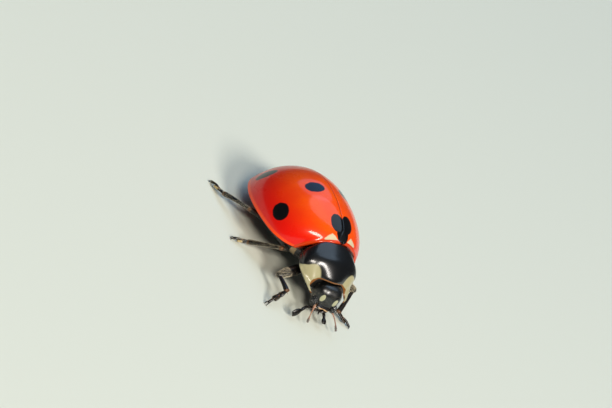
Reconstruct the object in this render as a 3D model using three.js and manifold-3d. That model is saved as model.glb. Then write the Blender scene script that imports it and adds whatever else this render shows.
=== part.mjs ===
// A seven-spot ladybird, life size, as a still museum model on its six feet.
// Millimetres, +Z up, the head towards -Y, the insect's left side towards +X.
import * as THREE from "three";
import { mergeVertices } from "three/addons/utils/BufferGeometryUtils.js";
import Module from "manifold-3d";

const wasm = await Module();
wasm.setup();

// ---------------------------------------------------------------- sizes
const WALL = 0.5; // thickness of the shell plates
const GAP = 0.03; // play left between neighbouring plates
const QUARTER = Math.PI / 2;

// The wing cases: one dome parted by the suture. Its base is at y = 0.
const DOME = {
  length: 6.01,
  halfWidth: 2.786,
  widestAt: 2.58,
  frontReach: 3.31, // from the widest place to where the front curve would close
  planPower: 2.29, // 2 would be an ellipse
  height: 2.496, // of the crown over the margin
  crownAt: 3.11,
  crownFrontReach: 3.79,
  tailPower: 1.82, // how full the crown's fall to the tail is
  marginAtBase: 1.77, // height of the lower margin over the floor at the base
  marginFall: 0.158, // how much lower it lies per millimetre towards the tail
  shoulderBack: 0.13, // the outer end of the base lies this far back,
  shoulderRound: 0.09, // its very corner this much further,
  shoulderSkew: 0.21, // the left one this much less and the right one this much more,
  shoulderReach: 1.5, // and the shoulder's curve ends this far from the base
  sectionPower: 1.144, // 1 would be an elliptic cross section
  bellyPower: 0.8, // the same under the margin, for the body that fills the dome
  insetFront: 0.44, // an inner surface loses this share of the wall from its front reach,
  insetCrown: 0.53, // and this share from the crown's
};
const ELYTRON = { columns: 11, rows: 15 }; // facets from the suture to the side, and along it

// The plate over the prothorax. Values run from its hind edge to its front edge.
const PRONOTUM = {
  halfWidth: [1.5, 1.65, 1.5, 1.06],
  margin: [1.86, 1.78, 1.64, 1.36], // height of its side edge over the floor
  crown: [3.06, 2.87, 2.63, 1.99],
  edgeY: [-0.22, -0.82, -1.11, -1.64],
  crownY: [-0.03, -0.52, -1.05, -1.54],
  sectionPower: 0.92, // under 1 its sides stand steeper than an oval's
  // Waves of the front edge: how far forward, at which share of the half width, over what reach.
  frontWaves: [
    [0.14, 0, 0.38],
    [-0.1, 0.68, 0.2],
  ],
  frontAngle: 0.36, // it ends in a point this long on each side of the head,
  angleHeight: 0.14, // which takes up this share of the height there
  waveFrom: 0.6, // the waves fade in from this share of the plate's length
  turn: -4.5, // degrees to its right
  shift: -0.18,
  columns: 16,
  rows: 8,
};

// The block under the plate. Its depth is below the plate's side edge.
const PROSTERNUM = {
  rearFaceY: -0.11,
  start: 0.05, // the part of the plate's length that it fills
  end: 0.95,
  hindDepth: 0.66,
  frontDepth: 0.42,
  fullness: 0.8,
  stations: 5,
  over: 10,
  under: 8,
};

const TRUNK = { steps: 8, sides: 20, collarSides: 16 };
const THORAX = {
  collarFront: 0, // the collar that meets the prothorax
  collarEnd: 0.5,
  front: 0.08,
  end: 2.55,
  sternumDepth: 0.68, // below the margin of the wing cases
};
const ABDOMEN = {
  end: 5.42,
  depth: 0.56,
  tailDepth: 0.12,
};

// The head's own pieces are placed from its centre and turned with it.
const HEAD = {
  centre: [-0.095, -1.59, 1.21],
  half: [0.715, 0.585, 0.625],
  turn: -13,
  fullness: 2.8, // how boxy it is from side to side: 2 would be an ellipsoid
  profile: 2.1, // how boxy it is seen from the side
  sides: 16,
};
const EYE = { at: [0.565, -0.42, -0.35], half: [0.19, 0.22, 0.26] };
const LABRUM = { at: [0, -0.48, -0.4], half: [0.4, 0.2, 0.15], tilt: 20 };
const MANDIBLE = { at: [0.19, -0.4, -0.58], half: [0.18, 0.2, 0.19] };
const LABIUM = { at: [0, -0.08, -0.66], half: [0.3, 0.26, 0.2] };

// Each leg: its joints from the root of the coxa to the claws, over the floor.
const LEGS = {
  front_right: {
    root: [-0.34, -0.38, 1.46],
    hip: [-0.88, -0.24, 1.3],
    knee: [-2.33, -0.61, 0.76],
    ankle: [-2.3, -1.6, 0.8],
    claw: [-3.2, -2.0, 0.12],
  },
  middle_right: {
    root: [-0.5, 1.05, 1.35],
    hip: [-1.05, 1.0, 1.12],
    knee: [-2.2, 0.55, 1.36],
    ankle: [-2.98, 1.58, 0.34],
    claw: [-3.74, 1.88, 0.12],
  },
  hind_right: {
    root: [-0.55, 2.35, 1.1],
    hip: [-1.2, 2.5, 0.9],
    knee: [-2.78, 3.14, 0.98],
    ankle: [-3.31, 4.47, 0.36],
    claw: [-3.58, 5.5, 0.12],
  },
  front_left: {
    root: [0.28, -0.52, 1.42],
    hip: [0.8, -0.5, 1.24],
    knee: [2.13, -0.79, 1.12],
    ankle: [1.4, -1.68, 0.33],
    claw: [2.06, -2.3, 0.12],
  },
  middle_left: {
    root: [0.5, 1.05, 1.35],
    hip: [1.05, 1.0, 1.12],
    knee: [2.35, 0.8, 1.32],
    ankle: [3.05, 1.62, 0.34],
    claw: [3.8, 2.0, 0.12],
  },
  hind_left: {
    root: [0.55, 2.35, 1.1],
    hip: [1.2, 2.5, 0.9],
    knee: [2.75, 3.08, 0.98],
    ankle: [3.28, 4.4, 0.36],
    claw: [3.62, 5.42, 0.12],
  },
};
const LEG = {
  coxa: 0.3,
  hip: 0.25,
  thigh: 0.3,
  knee: 0.24,
  shin: 0.21,
  shinEnd: 0.24,
  foot: 0.23,
  footPad: 0.26,
  footTip: 0.19,
  thighBow: [[0.4, 0.04], [0.75, 0.03]], // how far along a limb, and how much higher than a straight one
  shinBow: [[0.3, 0.03]],
  footStations: [0.35, 0.6, 0.78],
};

const FEELERS = {
  left: [[0.24, -2.12, 0.82], [0.49, -2.42, 0.65], [0.58, -2.72, 0.5], [0.53, -3.08, 0.4]],
  right: [[-0.68, -2.08, 0.82], [-0.92, -2.39, 0.66], [-1.06, -2.64, 0.52], [-1.25, -2.93, 0.42]],
};
const FEELER = { stalk: 0.19, club: 0.22 };

const PALPS = {
  left: [[0.02, -2.0, 0.54], [-0.02, -2.36, 0.52], [-0.08, -2.74, 0.37]],
  right: [[-0.62, -2.02, 0.54], [-1.18, -2.18, 0.62], [-1.53, -2.38, 0.53], [-1.93, -2.51, 0.32]],
};
const PALP = { stalk: 0.17, blade: 0.21 };

// ---------------------------------------------------------------- solids
const point = (x, y, z) => new THREE.Vector3(x, y, z);

/** One closed solid from a list of triangles given as corner triples. */
function solidOf(geometry) {
  const bare = new THREE.BufferGeometry();
  const source = geometry.index ? geometry.toNonIndexed() : geometry;
  bare.setAttribute("position", source.getAttribute("position"));
  const merged = mergeVertices(bare, 1e-4);
  return new wasm.Manifold(
    new wasm.Mesh({
      numProp: 3,
      vertProperties: merged.attributes.position.array,
      triVerts: new Uint32Array(merged.index.array),
    }),
  );
}

/** The solid between two grids of points that share a border of walls. */
function slab(top, bottom, columns, rows) {
  const corners = [];
  const at = (grid, i, j) => grid(i / columns, j / rows);
  const quad = (a, b, c, d) => corners.push(a, b, c, a, c, d);
  for (let i = 0; i < columns; i++) {
    for (let j = 0; j < rows; j++) {
      quad(at(top, i, j), at(top, i + 1, j), at(top, i + 1, j + 1), at(top, i, j + 1));
      quad(at(bottom, i, j), at(bottom, i, j + 1), at(bottom, i + 1, j + 1), at(bottom, i + 1, j));
    }
    quad(at(top, i, 0), at(bottom, i, 0), at(bottom, i + 1, 0), at(top, i + 1, 0));
    quad(at(top, i + 1, rows), at(bottom, i + 1, rows), at(bottom, i, rows), at(top, i, rows));
  }
  for (let j = 0; j < rows; j++) {
    quad(at(top, 0, j + 1), at(bottom, 0, j + 1), at(bottom, 0, j), at(top, 0, j));
    quad(at(top, columns, j), at(bottom, columns, j), at(bottom, columns, j + 1), at(top, columns, j + 1));
  }
  return closed(corners);
}

/** The solid through a row of rings of equal count, closed by a fan at each end. */
function loft(rings) {
  const corners = [];
  const count = rings[0].length;
  const middle = (ring) => ring.reduce((sum, p) => sum.add(p), point(0, 0, 0)).divideScalar(count);
  const first = middle(rings[0]);
  const last = middle(rings.at(-1));
  for (let k = 0; k < count; k++) {
    const next = (k + 1) % count;
    for (let i = 0; i + 1 < rings.length; i++) {
      corners.push(rings[i][k], rings[i][next], rings[i + 1][next]);
      corners.push(rings[i][k], rings[i + 1][next], rings[i + 1][k]);
    }
    corners.push(first, rings[0][next], rings[0][k]);
    corners.push(last, rings.at(-1)[k], rings.at(-1)[next]);
  }
  return closed(corners);
}

/** Drops the triangles that have shrunk to a line, and turns the solid right side out. */
function closed(corners) {
  const kept = [];
  for (let i = 0; i < corners.length; i += 3) {
    const [a, b, c] = corners.slice(i, i + 3);
    const flat = [a.distanceTo(b), b.distanceTo(c), c.distanceTo(a)].some((side) => side < 1e-3);
    if (!flat) kept.push(a, b, c);
  }
  const volume = () => {
    let sum = 0;
    for (let i = 0; i < kept.length; i += 3) {
      sum += kept[i].dot(kept[i + 1].clone().cross(kept[i + 2]));
    }
    return sum;
  };
  if (volume() < 0) kept.reverse();
  return solidOf(new THREE.BufferGeometry().setFromPoints(kept));
}

/** A rounded body: an ellipsoid where both powers are 2, boxier above that, tilted in degrees. */
function roundBody(centre, half, { grow = 0, tilt = 0, fullness = 2, profile = 2, sides = 10 } = {}) {
  const ball = new THREE.SphereGeometry(1, sides, Math.round(sides * 0.6));
  const places = ball.getAttribute("position");
  for (let i = 0; i < places.count; i++) {
    const p = point(0, 0, 0).fromBufferAttribute(places, i);
    const [x, y, z] = p.toArray().map(Math.abs);
    const upright = (y ** profile + z ** profile) ** (1 / profile);
    p.divideScalar((x ** fullness + upright ** fullness) ** (1 / fullness));
    places.setXYZ(i, ...p.toArray());
  }
  ball.scale(...half.map((v) => v + grow));
  ball.rotateX(THREE.MathUtils.degToRad(tilt));
  ball.translate(...centre);
  return solidOf(ball);
}

/** A round limb along a path, with rounded ends. */
function limb(path, radii, grow = 0, sides = 8) {
  const points = path.map((p) => point(...p));
  const rings = [];
  const ring = (centre, along, radius) => {
    const across = point(0, 0, 1).cross(along);
    if (across.length() < 0.1) across.set(1, 0, 0);
    across.normalize();
    const over = along.clone().cross(across).normalize();
    const made = [];
    for (let k = 0; k < sides; k++) {
      const angle = (2 * Math.PI * k) / sides;
      made.push(
        centre
          .clone()
          .addScaledVector(across, radius * Math.cos(angle))
          .addScaledVector(over, radius * Math.sin(angle)),
      );
    }
    rings.push(made);
  };
  const directions = points.map((p, i) => {
    const before = points[Math.max(i - 1, 0)];
    const after = points[Math.min(i + 1, points.length - 1)];
    return after.clone().sub(before).normalize();
  });
  const cap = (i, sign, angles) => {
    const radius = radii[i] + grow;
    for (const angle of angles) {
      const centre = points[i].clone().addScaledVector(directions[i], sign * radius * Math.sin(angle));
      ring(centre, directions[i], radius * Math.cos(angle));
    }
  };
  cap(0, -1, [0.9]);
  points.forEach((p, i) => ring(p, directions[i], radii[i] + grow));
  cap(points.length - 1, 1, [0.9]);
  return loft(rings);
}

/** A value part of the way along an evenly spaced list, smoothly. */
function along(values, t) {
  const place = t * (values.length - 1);
  const i = Math.min(Math.floor(place), values.length - 2);
  const f = place - i;
  const at = (k) => values[Math.min(Math.max(k, 0), values.length - 1)];
  const ends = (k) => {
    if (k < 0) return 2 * at(0) - at(1);
    if (k >= values.length) return 2 * at(values.length - 1) - at(values.length - 2);
    return at(k);
  };
  const [a, b, c, d] = [ends(i - 1), ends(i), ends(i + 1), ends(i + 2)];
  return b + 0.5 * f * (c - a + f * (2 * a - 5 * b + 4 * c - d + f * (3 * (b - c) + d - a)));
}

/** A bell that is 1 at the middle and fades over the reach. */
const hump = (value, middle, reach) => Math.exp(-(((value - middle) / reach) ** 2));

/** A smooth step from 0 at start to 1 at end. */
const ramp = (value, start, end) => THREE.MathUtils.smoothstep(value, start, end);

const cut = (solid, ...tools) => tools.reduce((rest, tool) => rest.subtract(tool), solid);
const turned = (solid, degrees, about = [0, 0, 0]) =>
  solid
    .translate(about.map((v) => -v))
    .rotate([0, 0, degrees])
    .translate(about);

/** All that lies under the floor, for the feet to be cut off level. */
function groundBlock() {
  const [wide, deep] = [18, 2];
  return solidOf(new THREE.BoxGeometry(wide, wide, deep).translate(0, 0, -deep / 2));
}
const underFloor = groundBlock();

// ---------------------------------------------------------------- the dome
const power = (value, n) => Math.sign(value) * Math.abs(value) ** n;

/** Half width of the dome at y, drawn in by an inset. */
function domeHalfWidth(y, inset) {
  const front = DOME.frontReach - inset * DOME.insetFront;
  const rear = DOME.length - DOME.widestAt - inset;
  const reach = y < DOME.widestAt ? front : rear;
  const share = Math.min(Math.abs(y - DOME.widestAt) / reach, 1);
  return (DOME.halfWidth - inset) * Math.sqrt(1 - share ** DOME.planPower);
}

/** Height of the dome's crown over its margin at y, drawn in by an inset. */
function domeCrown(y, inset) {
  const front = DOME.crownFrontReach - inset * DOME.insetCrown;
  const rear = DOME.length - DOME.crownAt - inset;
  const reach = y < DOME.crownAt ? front : rear;
  const share = Math.min(Math.abs(y - DOME.crownAt) / reach, 1);
  const fall = y < DOME.crownAt ? 2 : DOME.tailPower;
  return (DOME.height - inset) * Math.sqrt(1 - share ** fall);
}

const marginLevel = (y) => DOME.marginAtBase - DOME.marginFall * y;

/** A point on the dome at y: the angle runs from the crown to the side and on below it. */
function domePoint(y, angle, inset, depth = 0) {
  const side = Math.sin(angle);
  const lift = Math.cos(angle);
  const nearBase = Math.max(1 - y / DOME.shoulderReach, 0);
  const below = lift < 0;
  const across = power(side, below ? DOME.bellyPower : DOME.sectionPower);
  const back = DOME.shoulderBack * side ** 2 + DOME.shoulderRound * Math.abs(across) ** 6;
  return point(
    domeHalfWidth(y, inset) * across,
    y + (back - DOME.shoulderSkew * power(across, 2)) * nearBase ** 2,
    marginLevel(y) + (below ? depth * lift : domeCrown(y, inset) * lift ** DOME.sectionPower),
  );
}

/** One wing case: a shell on one side of the suture. */
function elytron(side) {
  const shell = (inset) => (u, v) => {
    const y = (DOME.length - inset) * Math.sin(v * QUARTER);
    const p = domePoint(y, side * Math.min(u * QUARTER, QUARTER - 1e-9), inset);
    p.x += side * GAP * 0.5 * (1 - u);
    return p;
  };
  return slab(shell(0), shell(WALL), ELYTRON.columns, ELYTRON.rows);
}

/** A length of the body that fills the dome and hangs below its margin by depth(y). */
function trunk(inset, start, end, depth) {
  const rings = [];
  for (let i = 0; i <= TRUNK.steps; i++) {
    const y = start + ((end - start) * i) / TRUNK.steps;
    const ring = [];
    for (let k = 0; k < TRUNK.sides; k++) {
      const angle = (2 * Math.PI * (k + 0.5)) / TRUNK.sides;
      ring.push(domePoint(y, angle, inset, depth(y)));
    }
    rings.push(ring);
  }
  return loft(rings);
}

/** The front of the thorax, as wide as the base of the dome lets it be. */
function collar(inset, depth) {
  const ring = (y) => {
    const made = [];
    for (let k = 0; k < TRUNK.collarSides; k++) {
      const angle = (2 * Math.PI * (k + 0.5)) / TRUNK.collarSides;
      const p = domePoint(0, angle, inset, depth(0));
      made.push(point(p.x, y, p.z));
    }
    return made;
  };
  return loft([ring(THORAX.collarFront), ring(THORAX.collarEnd)]);
}

// ---------------------------------------------------------------- the prothorax
/** A point of the pronotum: u from right to left, v from hind edge to front edge. */
function pronotumPoint(u, v, inset) {
  const angle = (2 * u - 1) * QUARTER;
  const side = Math.sin(angle);
  const margin = along(PRONOTUM.margin, v);
  const rise = along(PRONOTUM.crown, v) - margin - inset;
  const crownY = along(PRONOTUM.crownY, v);
  const edgeY = along(PRONOTUM.edgeY, v);
  let forward = PRONOTUM.frontAngle * hump(Math.cos(angle), 0, PRONOTUM.angleHeight);
  for (const [far, middle, reach] of PRONOTUM.frontWaves) forward += far * hump(Math.abs(side), middle, reach);
  return point(
    (along(PRONOTUM.halfWidth, v) - inset) * power(side, PRONOTUM.sectionPower),
    crownY + (edgeY - crownY) * side * side - ramp(v, PRONOTUM.waveFrom, 1) * forward,
    margin + rise * power(Math.cos(angle), PRONOTUM.sectionPower),
  );
}

function pronotumPlate() {
  return slab(
    (u, v) => pronotumPoint(u, v, 0),
    (u, v) => pronotumPoint(u, v, WALL),
    PRONOTUM.columns,
    PRONOTUM.rows,
  );
}

/** The underside of the prothorax, which fills the plate and hangs below it. */
function prosternum() {
  const { start, end, stations, over, under, hindDepth, frontDepth } = PROSTERNUM;
  const rings = [];
  for (let i = 0; i <= stations; i++) {
    const v = start + ((end - start) * i) / stations;
    const depth = hindDepth + (frontDepth - hindDepth) * v;
    const ring = [];
    for (let k = 0; k <= over; k++) ring.push(pronotumPoint(k / over, v, WALL + GAP));
    const right = ring[0];
    const left = ring.at(-1);
    for (let k = 1; k < under; k++) {
      const angle = (Math.PI * k) / under;
      const share = (1 + Math.cos(angle)) / 2;
      const low = depth * Math.sin(angle) ** PROSTERNUM.fullness;
      ring.push(point(right.x + (left.x - right.x) * share, left.y, left.z - low));
    }
    if (i === 0) rings.push(ring.map((p) => point(p.x, PROSTERNUM.rearFaceY, p.z)));
    rings.push(ring);
  }
  return loft(rings);
}

// ---------------------------------------------------------------- legs
/** The shapes of one leg's pieces, each a function of how much it is grown. */
function legShapes({ root, hip, knee, ankle, claw }) {
  const between = (a, b, f, lift = 0) => a.map((v, i) => v + (b[i] - v) * f + (i === 2 ? lift : 0));
  const thigh = [hip, ...LEG.thighBow.map(([f, lift]) => between(hip, knee, f, lift)), knee];
  const shin = [knee, ...LEG.shinBow.map(([f, lift]) => between(knee, ankle, f, lift)), ankle];
  const foot = [ankle, ...LEG.footStations.map((f) => between(ankle, claw, f)), claw];
  return {
    coxa: (grow) => limb([root, hip], [LEG.coxa, LEG.hip], grow),
    femur: (grow) =>
      limb(thigh, [LEG.hip * 0.8, LEG.thigh, LEG.thigh * 0.93, LEG.knee], grow),
    tibia: (grow) => limb(shin, [LEG.knee * 0.85, LEG.shin, LEG.shinEnd], grow),
    tarsus: (grow) =>
      limb(
        foot,
        [LEG.shinEnd * 0.85, LEG.foot, LEG.footPad, LEG.foot * 0.85, LEG.footTip],
        grow,
      ),
  };
}

// ---------------------------------------------------------------- the head
/** A rounded piece of the head; side is 1 for its left, -1 for its right, 0 for its middle. */
function headPiece({ at = [0, 0, 0], half, ...shape }, grow, side = 0) {
  const centre = HEAD.centre.map((v, i) => v + at[i] * (i === 0 ? side : 1));
  return turned(roundBody(centre, half, { grow, ...shape }), HEAD.turn, HEAD.centre);
}
const { half, fullness, profile, sides } = HEAD;
const capsule = (grow) => headPiece({ half, fullness, profile, sides }, grow);
const eye = (side, grow) => headPiece(EYE, grow, side);
const labrum = (grow) => headPiece(LABRUM, grow);
const mandible = (side, grow) => headPiece(MANDIBLE, grow, side);
const labium = (grow) => headPiece(LABIUM, grow);
const feeler = (side, grow) =>
  limb(FEELERS[side], [FEELER.stalk, FEELER.stalk, FEELER.club, FEELER.club * 0.9], grow);
const palp = (side, grow) => {
  const path = PALPS[side];
  const radii = path.map((p, i) => (i === path.length - 1 ? PALP.blade : PALP.stalk));
  return limb(path, radii, grow);
};

// ---------------------------------------------------------------- colours
const finish = {
  red: { color: "#e23a12", roughness: 0.25 },
  black: { color: "#141312", roughness: 0.3 },
  brown: { color: "#3a2a1e", roughness: 0.4 },
  eye: { color: "#0b0b0d", roughness: 0.2 },
  tan: { color: "#b98a55", roughness: 0.4 },
};

const root = new THREE.Group();
const pieces = new Map();
const place = (name, solid, look) => pieces.set(name, { solid, look });

// ---------------------------------------------------------------- assembly
const legs = Object.entries(LEGS).map(([name, joints]) => ({ name, ...legShapes(joints) }));
const clearOfLegs = legs.flatMap((leg) => [leg.coxa(GAP), leg.femur(GAP)]);

// A small triangle between the wing cases, standing on the thorax.
const SCUTELLUM = { halfWidth: 0.27, frontY: 0.02, length: 0.44, droop: 0.12 };
function scutellum(grow) {
  const ring = (inset) => {
    const front = SCUTELLUM.frontY - grow;
    const wide = SCUTELLUM.halfWidth + 1.5 * grow;
    const corners = [point(-wide, front, 0), point(wide, front, 0), point(0, SCUTELLUM.length + 2 * grow, 0)];
    return corners.map((p) => {
      const level = marginLevel(p.y) + domeCrown(p.y, 0) - SCUTELLUM.droop * (p.x / wide) ** 2;
      return point(p.x, p.y, level - inset);
    });
  };
  return loft([ring(WALL + 3 * grow), ring(-5 * grow)]);
}

const elytronNotch = scutellum(GAP);
place("elytron_right", cut(elytron(-1), elytronNotch), finish.red);
place("elytron_left", cut(elytron(1), elytronNotch), finish.red);
place("scutellum", scutellum(0), finish.black);

const sternumDepth = (y) => THORAX.sternumDepth * Math.min(0.75 + 0.25 * y, 1);
const bellyDepth = (y) => {
  const t = (y - THORAX.end) / (ABDOMEN.end - THORAX.end);
  return ABDOMEN.depth + (ABDOMEN.tailDepth - ABDOMEN.depth) * t * t;
};
const inset = WALL + 2 * GAP;
const thorax = trunk(inset, THORAX.front, THORAX.end, sternumDepth).add(collar(inset, sternumDepth));
const abdomen = trunk(inset, THORAX.end + GAP, ABDOMEN.end, bellyDepth);
place("thorax", cut(thorax, ...clearOfLegs, elytronNotch), finish.black);
place("abdomen", cut(abdomen, ...clearOfLegs), finish.black);

const clearOfHead = [capsule(GAP), eye(1, GAP), eye(-1, GAP), labium(GAP)];
const posed = (solid) => turned(solid, PRONOTUM.turn).translate([PRONOTUM.shift, 0, 0]);
const plate = posed(pronotumPlate());
place("pronotum", cut(plate, ...clearOfHead), finish.black);
place("prosternum", cut(posed(prosternum()), plate, ...clearOfHead, ...clearOfLegs), finish.black);

place("head", cut(capsule(0), eye(1, GAP), eye(-1, GAP)), finish.black);
place("eye_left", eye(1, 0), finish.eye);
place("eye_right", eye(-1, 0), finish.eye);
place("labrum", cut(labrum(0), capsule(GAP)), finish.tan);
place("labium", cut(labium(0), capsule(GAP)), finish.black);
const jawTools = [capsule(GAP), labrum(GAP), labium(GAP)];
place("mandible_left", cut(mandible(1, 0), ...jawTools), finish.brown);
place("mandible_right", cut(mandible(-1, 0), ...jawTools, mandible(1, GAP)), finish.brown);
const mouthTools = [...jawTools, mandible(1, GAP), mandible(-1, GAP), eye(1, GAP), eye(-1, GAP)];
for (const side of ["left", "right"]) {
  place("antenna_" + side, cut(feeler(side, 0), ...mouthTools), finish.brown);
  place("palp_" + side, cut(palp(side, 0), ...mouthTools, feeler(side, GAP)), finish.black);
}

for (const leg of legs) {
  place("coxa_" + leg.name, leg.coxa(0), finish.black);
  place("femur_" + leg.name, cut(leg.femur(0), leg.coxa(GAP)), finish.black);
  place("tibia_" + leg.name, cut(leg.tibia(0), leg.femur(GAP)), finish.black);
  place("tarsus_" + leg.name, cut(leg.tarsus(0), leg.tibia(GAP), underFloor), finish.black);
}

// ---------------------------------------------------------------- meshes
const bounds = new THREE.Box3();
for (const { solid } of pieces.values()) {
  const { min, max } = solid.boundingBox();
  bounds.union(new THREE.Box3(point(...min), point(...max)));
}
const middle = bounds.getCenter(point(0, 0, 0));

for (const [name, { solid, look }] of pieces) {
  const data = solid.getMesh();
  const geometry = new THREE.BufferGeometry();
  geometry.setAttribute("position", new THREE.BufferAttribute(new Float32Array(data.vertProperties), 3));
  geometry.setIndex(new THREE.BufferAttribute(new Uint32Array(data.triVerts), 1));
  geometry.translate(-middle.x, -middle.y, -bounds.min.z);
  geometry.computeVertexNormals();
  const material = new THREE.MeshStandardMaterial({ ...look, name, flatShading: true });
  const mesh = new THREE.Mesh(geometry, material);
  mesh.name = name;
  root.add(mesh);
}

export default root;
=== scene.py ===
import logging
import math
from dataclasses import dataclass, field, replace
from enum import Enum
from typing import Any, Iterable, Sequence

import bmesh
import bpy
import numpy as np
from bpy.types import GeometryNodeTree, ID, Material, Mesh, Node, NodeSocket, NodeTree, Object
from mathutils import Matrix, Vector


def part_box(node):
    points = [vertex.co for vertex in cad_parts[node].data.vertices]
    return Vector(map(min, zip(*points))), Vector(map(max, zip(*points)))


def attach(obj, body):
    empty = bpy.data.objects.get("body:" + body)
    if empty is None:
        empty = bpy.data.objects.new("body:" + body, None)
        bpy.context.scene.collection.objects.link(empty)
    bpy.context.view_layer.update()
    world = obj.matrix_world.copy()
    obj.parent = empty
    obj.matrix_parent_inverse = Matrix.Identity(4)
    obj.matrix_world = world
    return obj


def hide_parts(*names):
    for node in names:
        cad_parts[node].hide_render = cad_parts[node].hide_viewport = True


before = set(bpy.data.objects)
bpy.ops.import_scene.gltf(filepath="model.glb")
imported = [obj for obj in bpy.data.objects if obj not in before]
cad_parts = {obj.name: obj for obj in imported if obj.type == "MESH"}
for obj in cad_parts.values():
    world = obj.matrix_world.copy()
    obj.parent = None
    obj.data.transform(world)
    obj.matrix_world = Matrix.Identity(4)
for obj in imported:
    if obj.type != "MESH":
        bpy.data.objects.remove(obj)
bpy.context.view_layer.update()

LOG = logging.getLogger("ladybird")
MM = 0.001  # the shapes are worked out in millimetres, and the frame is in metres
UNWRAP = "OFBake"
TILE_GAP = 0.02  # the bare border of each patch's tile on the unwrap, as a share of the tile
MERGE_MM = 1e-4  # points nearer than this are one point
SLIVER_MM = 1e-5  # edges shorter than this are dissolved
BORDER_BULGE = 0.45  # how far the border of a walled sheet stands out, as a share of its wall
QUARTER = math.pi / 2
UP = np.array([0, 0, 1.0])
BACKWARD = np.array([0, 1.0, 0])
TINY = 1e-6  # keeps a division by a width of nothing from failing

Point = tuple[float, float, float]
Points = tuple[Point, ...]
Numbers = tuple[float, ...]
Array = np.ndarray


class Side(Enum):
    """A side of the insect, with the sign of its x."""

    RIGHT = -1
    LEFT = 1

    @property
    def word(self) -> str:
        """The side's name as it ends a node's name."""
        return self.name.lower()


# ------------------------------------------------------------------ the body frame
@dataclass(frozen=True)
class BodyFrame:
    """Millimetres: y = 0 at the base of the wing cases, z = 0 on the floor and +x to the insect's left."""

    origin: Point

    @classmethod
    def of_wing_cases(cls, length: float) -> "BodyFrame":
        """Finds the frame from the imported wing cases.

        Args:
            length: How far behind y = 0 the wing cases end, in millimetres.

        Returns:
            The body frame, its origin in millimetres of the row frame.
        """
        right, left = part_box("elytron_right"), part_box("elytron_left")
        tail = max(right[1].y, left[1].y) / MM
        return cls(((right[1].x + left[0].x) / 2 / MM, tail - length, 0.0))

    def matrix(self) -> Matrix:
        """Takes a point of the body frame to metres of the row frame."""
        return Matrix.Scale(MM, 4) @ Matrix.Translation(self.origin)

    def to_row(self, point: Sequence[float]) -> Vector:
        """One point of the body frame, in metres of the row frame."""
        return self.matrix() @ Vector(point)


# ------------------------------------------------------------------ numbers and curves
def along(values: Sequence[Any], t: Array) -> Array:
    """Reads evenly spaced values as one smooth curve.

    Args:
        values: Numbers or points, the first at t = 0 and the last at t = 1.
        t: The places to read, from 0 to 1.

    Returns:
        One value, or one row, for each place.
    """
    v = np.asarray(values, float)
    t = np.asarray(t, float)
    place = t * (len(v) - 1)
    i = np.clip(np.floor(place).astype(int), 0, len(v) - 2)
    f = place - i
    if v.ndim > 1:
        f = f[..., None]
    ends = np.concatenate([[2 * v[0] - v[1]], v, [2 * v[-1] - v[-2]]])
    a, b, c, d = ends[i], ends[i + 1], ends[i + 2], ends[i + 3]
    return b + 0.5 * f * (c - a + f * (2 * a - 5 * b + 4 * c - d + f * (3 * (b - c) + d - a)))


def ramp(x: Array, start: float, end: float) -> Array:
    """A smooth step from 0 at start to 1 at end."""
    t = np.clip((np.asarray(x, float) - start) / (end - start), 0, 1)
    return t * t * (3 - 2 * t)


def hump(x: Array, middle: float, reach: float) -> Array:
    """A bell that is 1 at the middle and fades over the reach."""
    return np.exp(-(((np.asarray(x, float) - middle) / reach) ** 2))


def unit(v: Array) -> Array:
    """The vectors at length 1; one of no length stays as it is."""
    length = np.linalg.norm(v, axis=-1, keepdims=True)
    return np.asarray(v, float) / np.where(length < 1e-12, 1, length)


def signed_power(value: Array, power: float) -> Array:
    """The power of a number's size, with the number's own sign."""
    return np.sign(value) * np.abs(value) ** power


def turned(points: Array, degrees: float) -> Array:
    """Points turned about the upright line through the origin."""
    c, s = math.cos(math.radians(degrees)), math.sin(math.radians(degrees))
    return np.asarray(points, float) @ np.array([[c, s, 0], [-s, c, 0], [0, 0, 1]])


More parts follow.
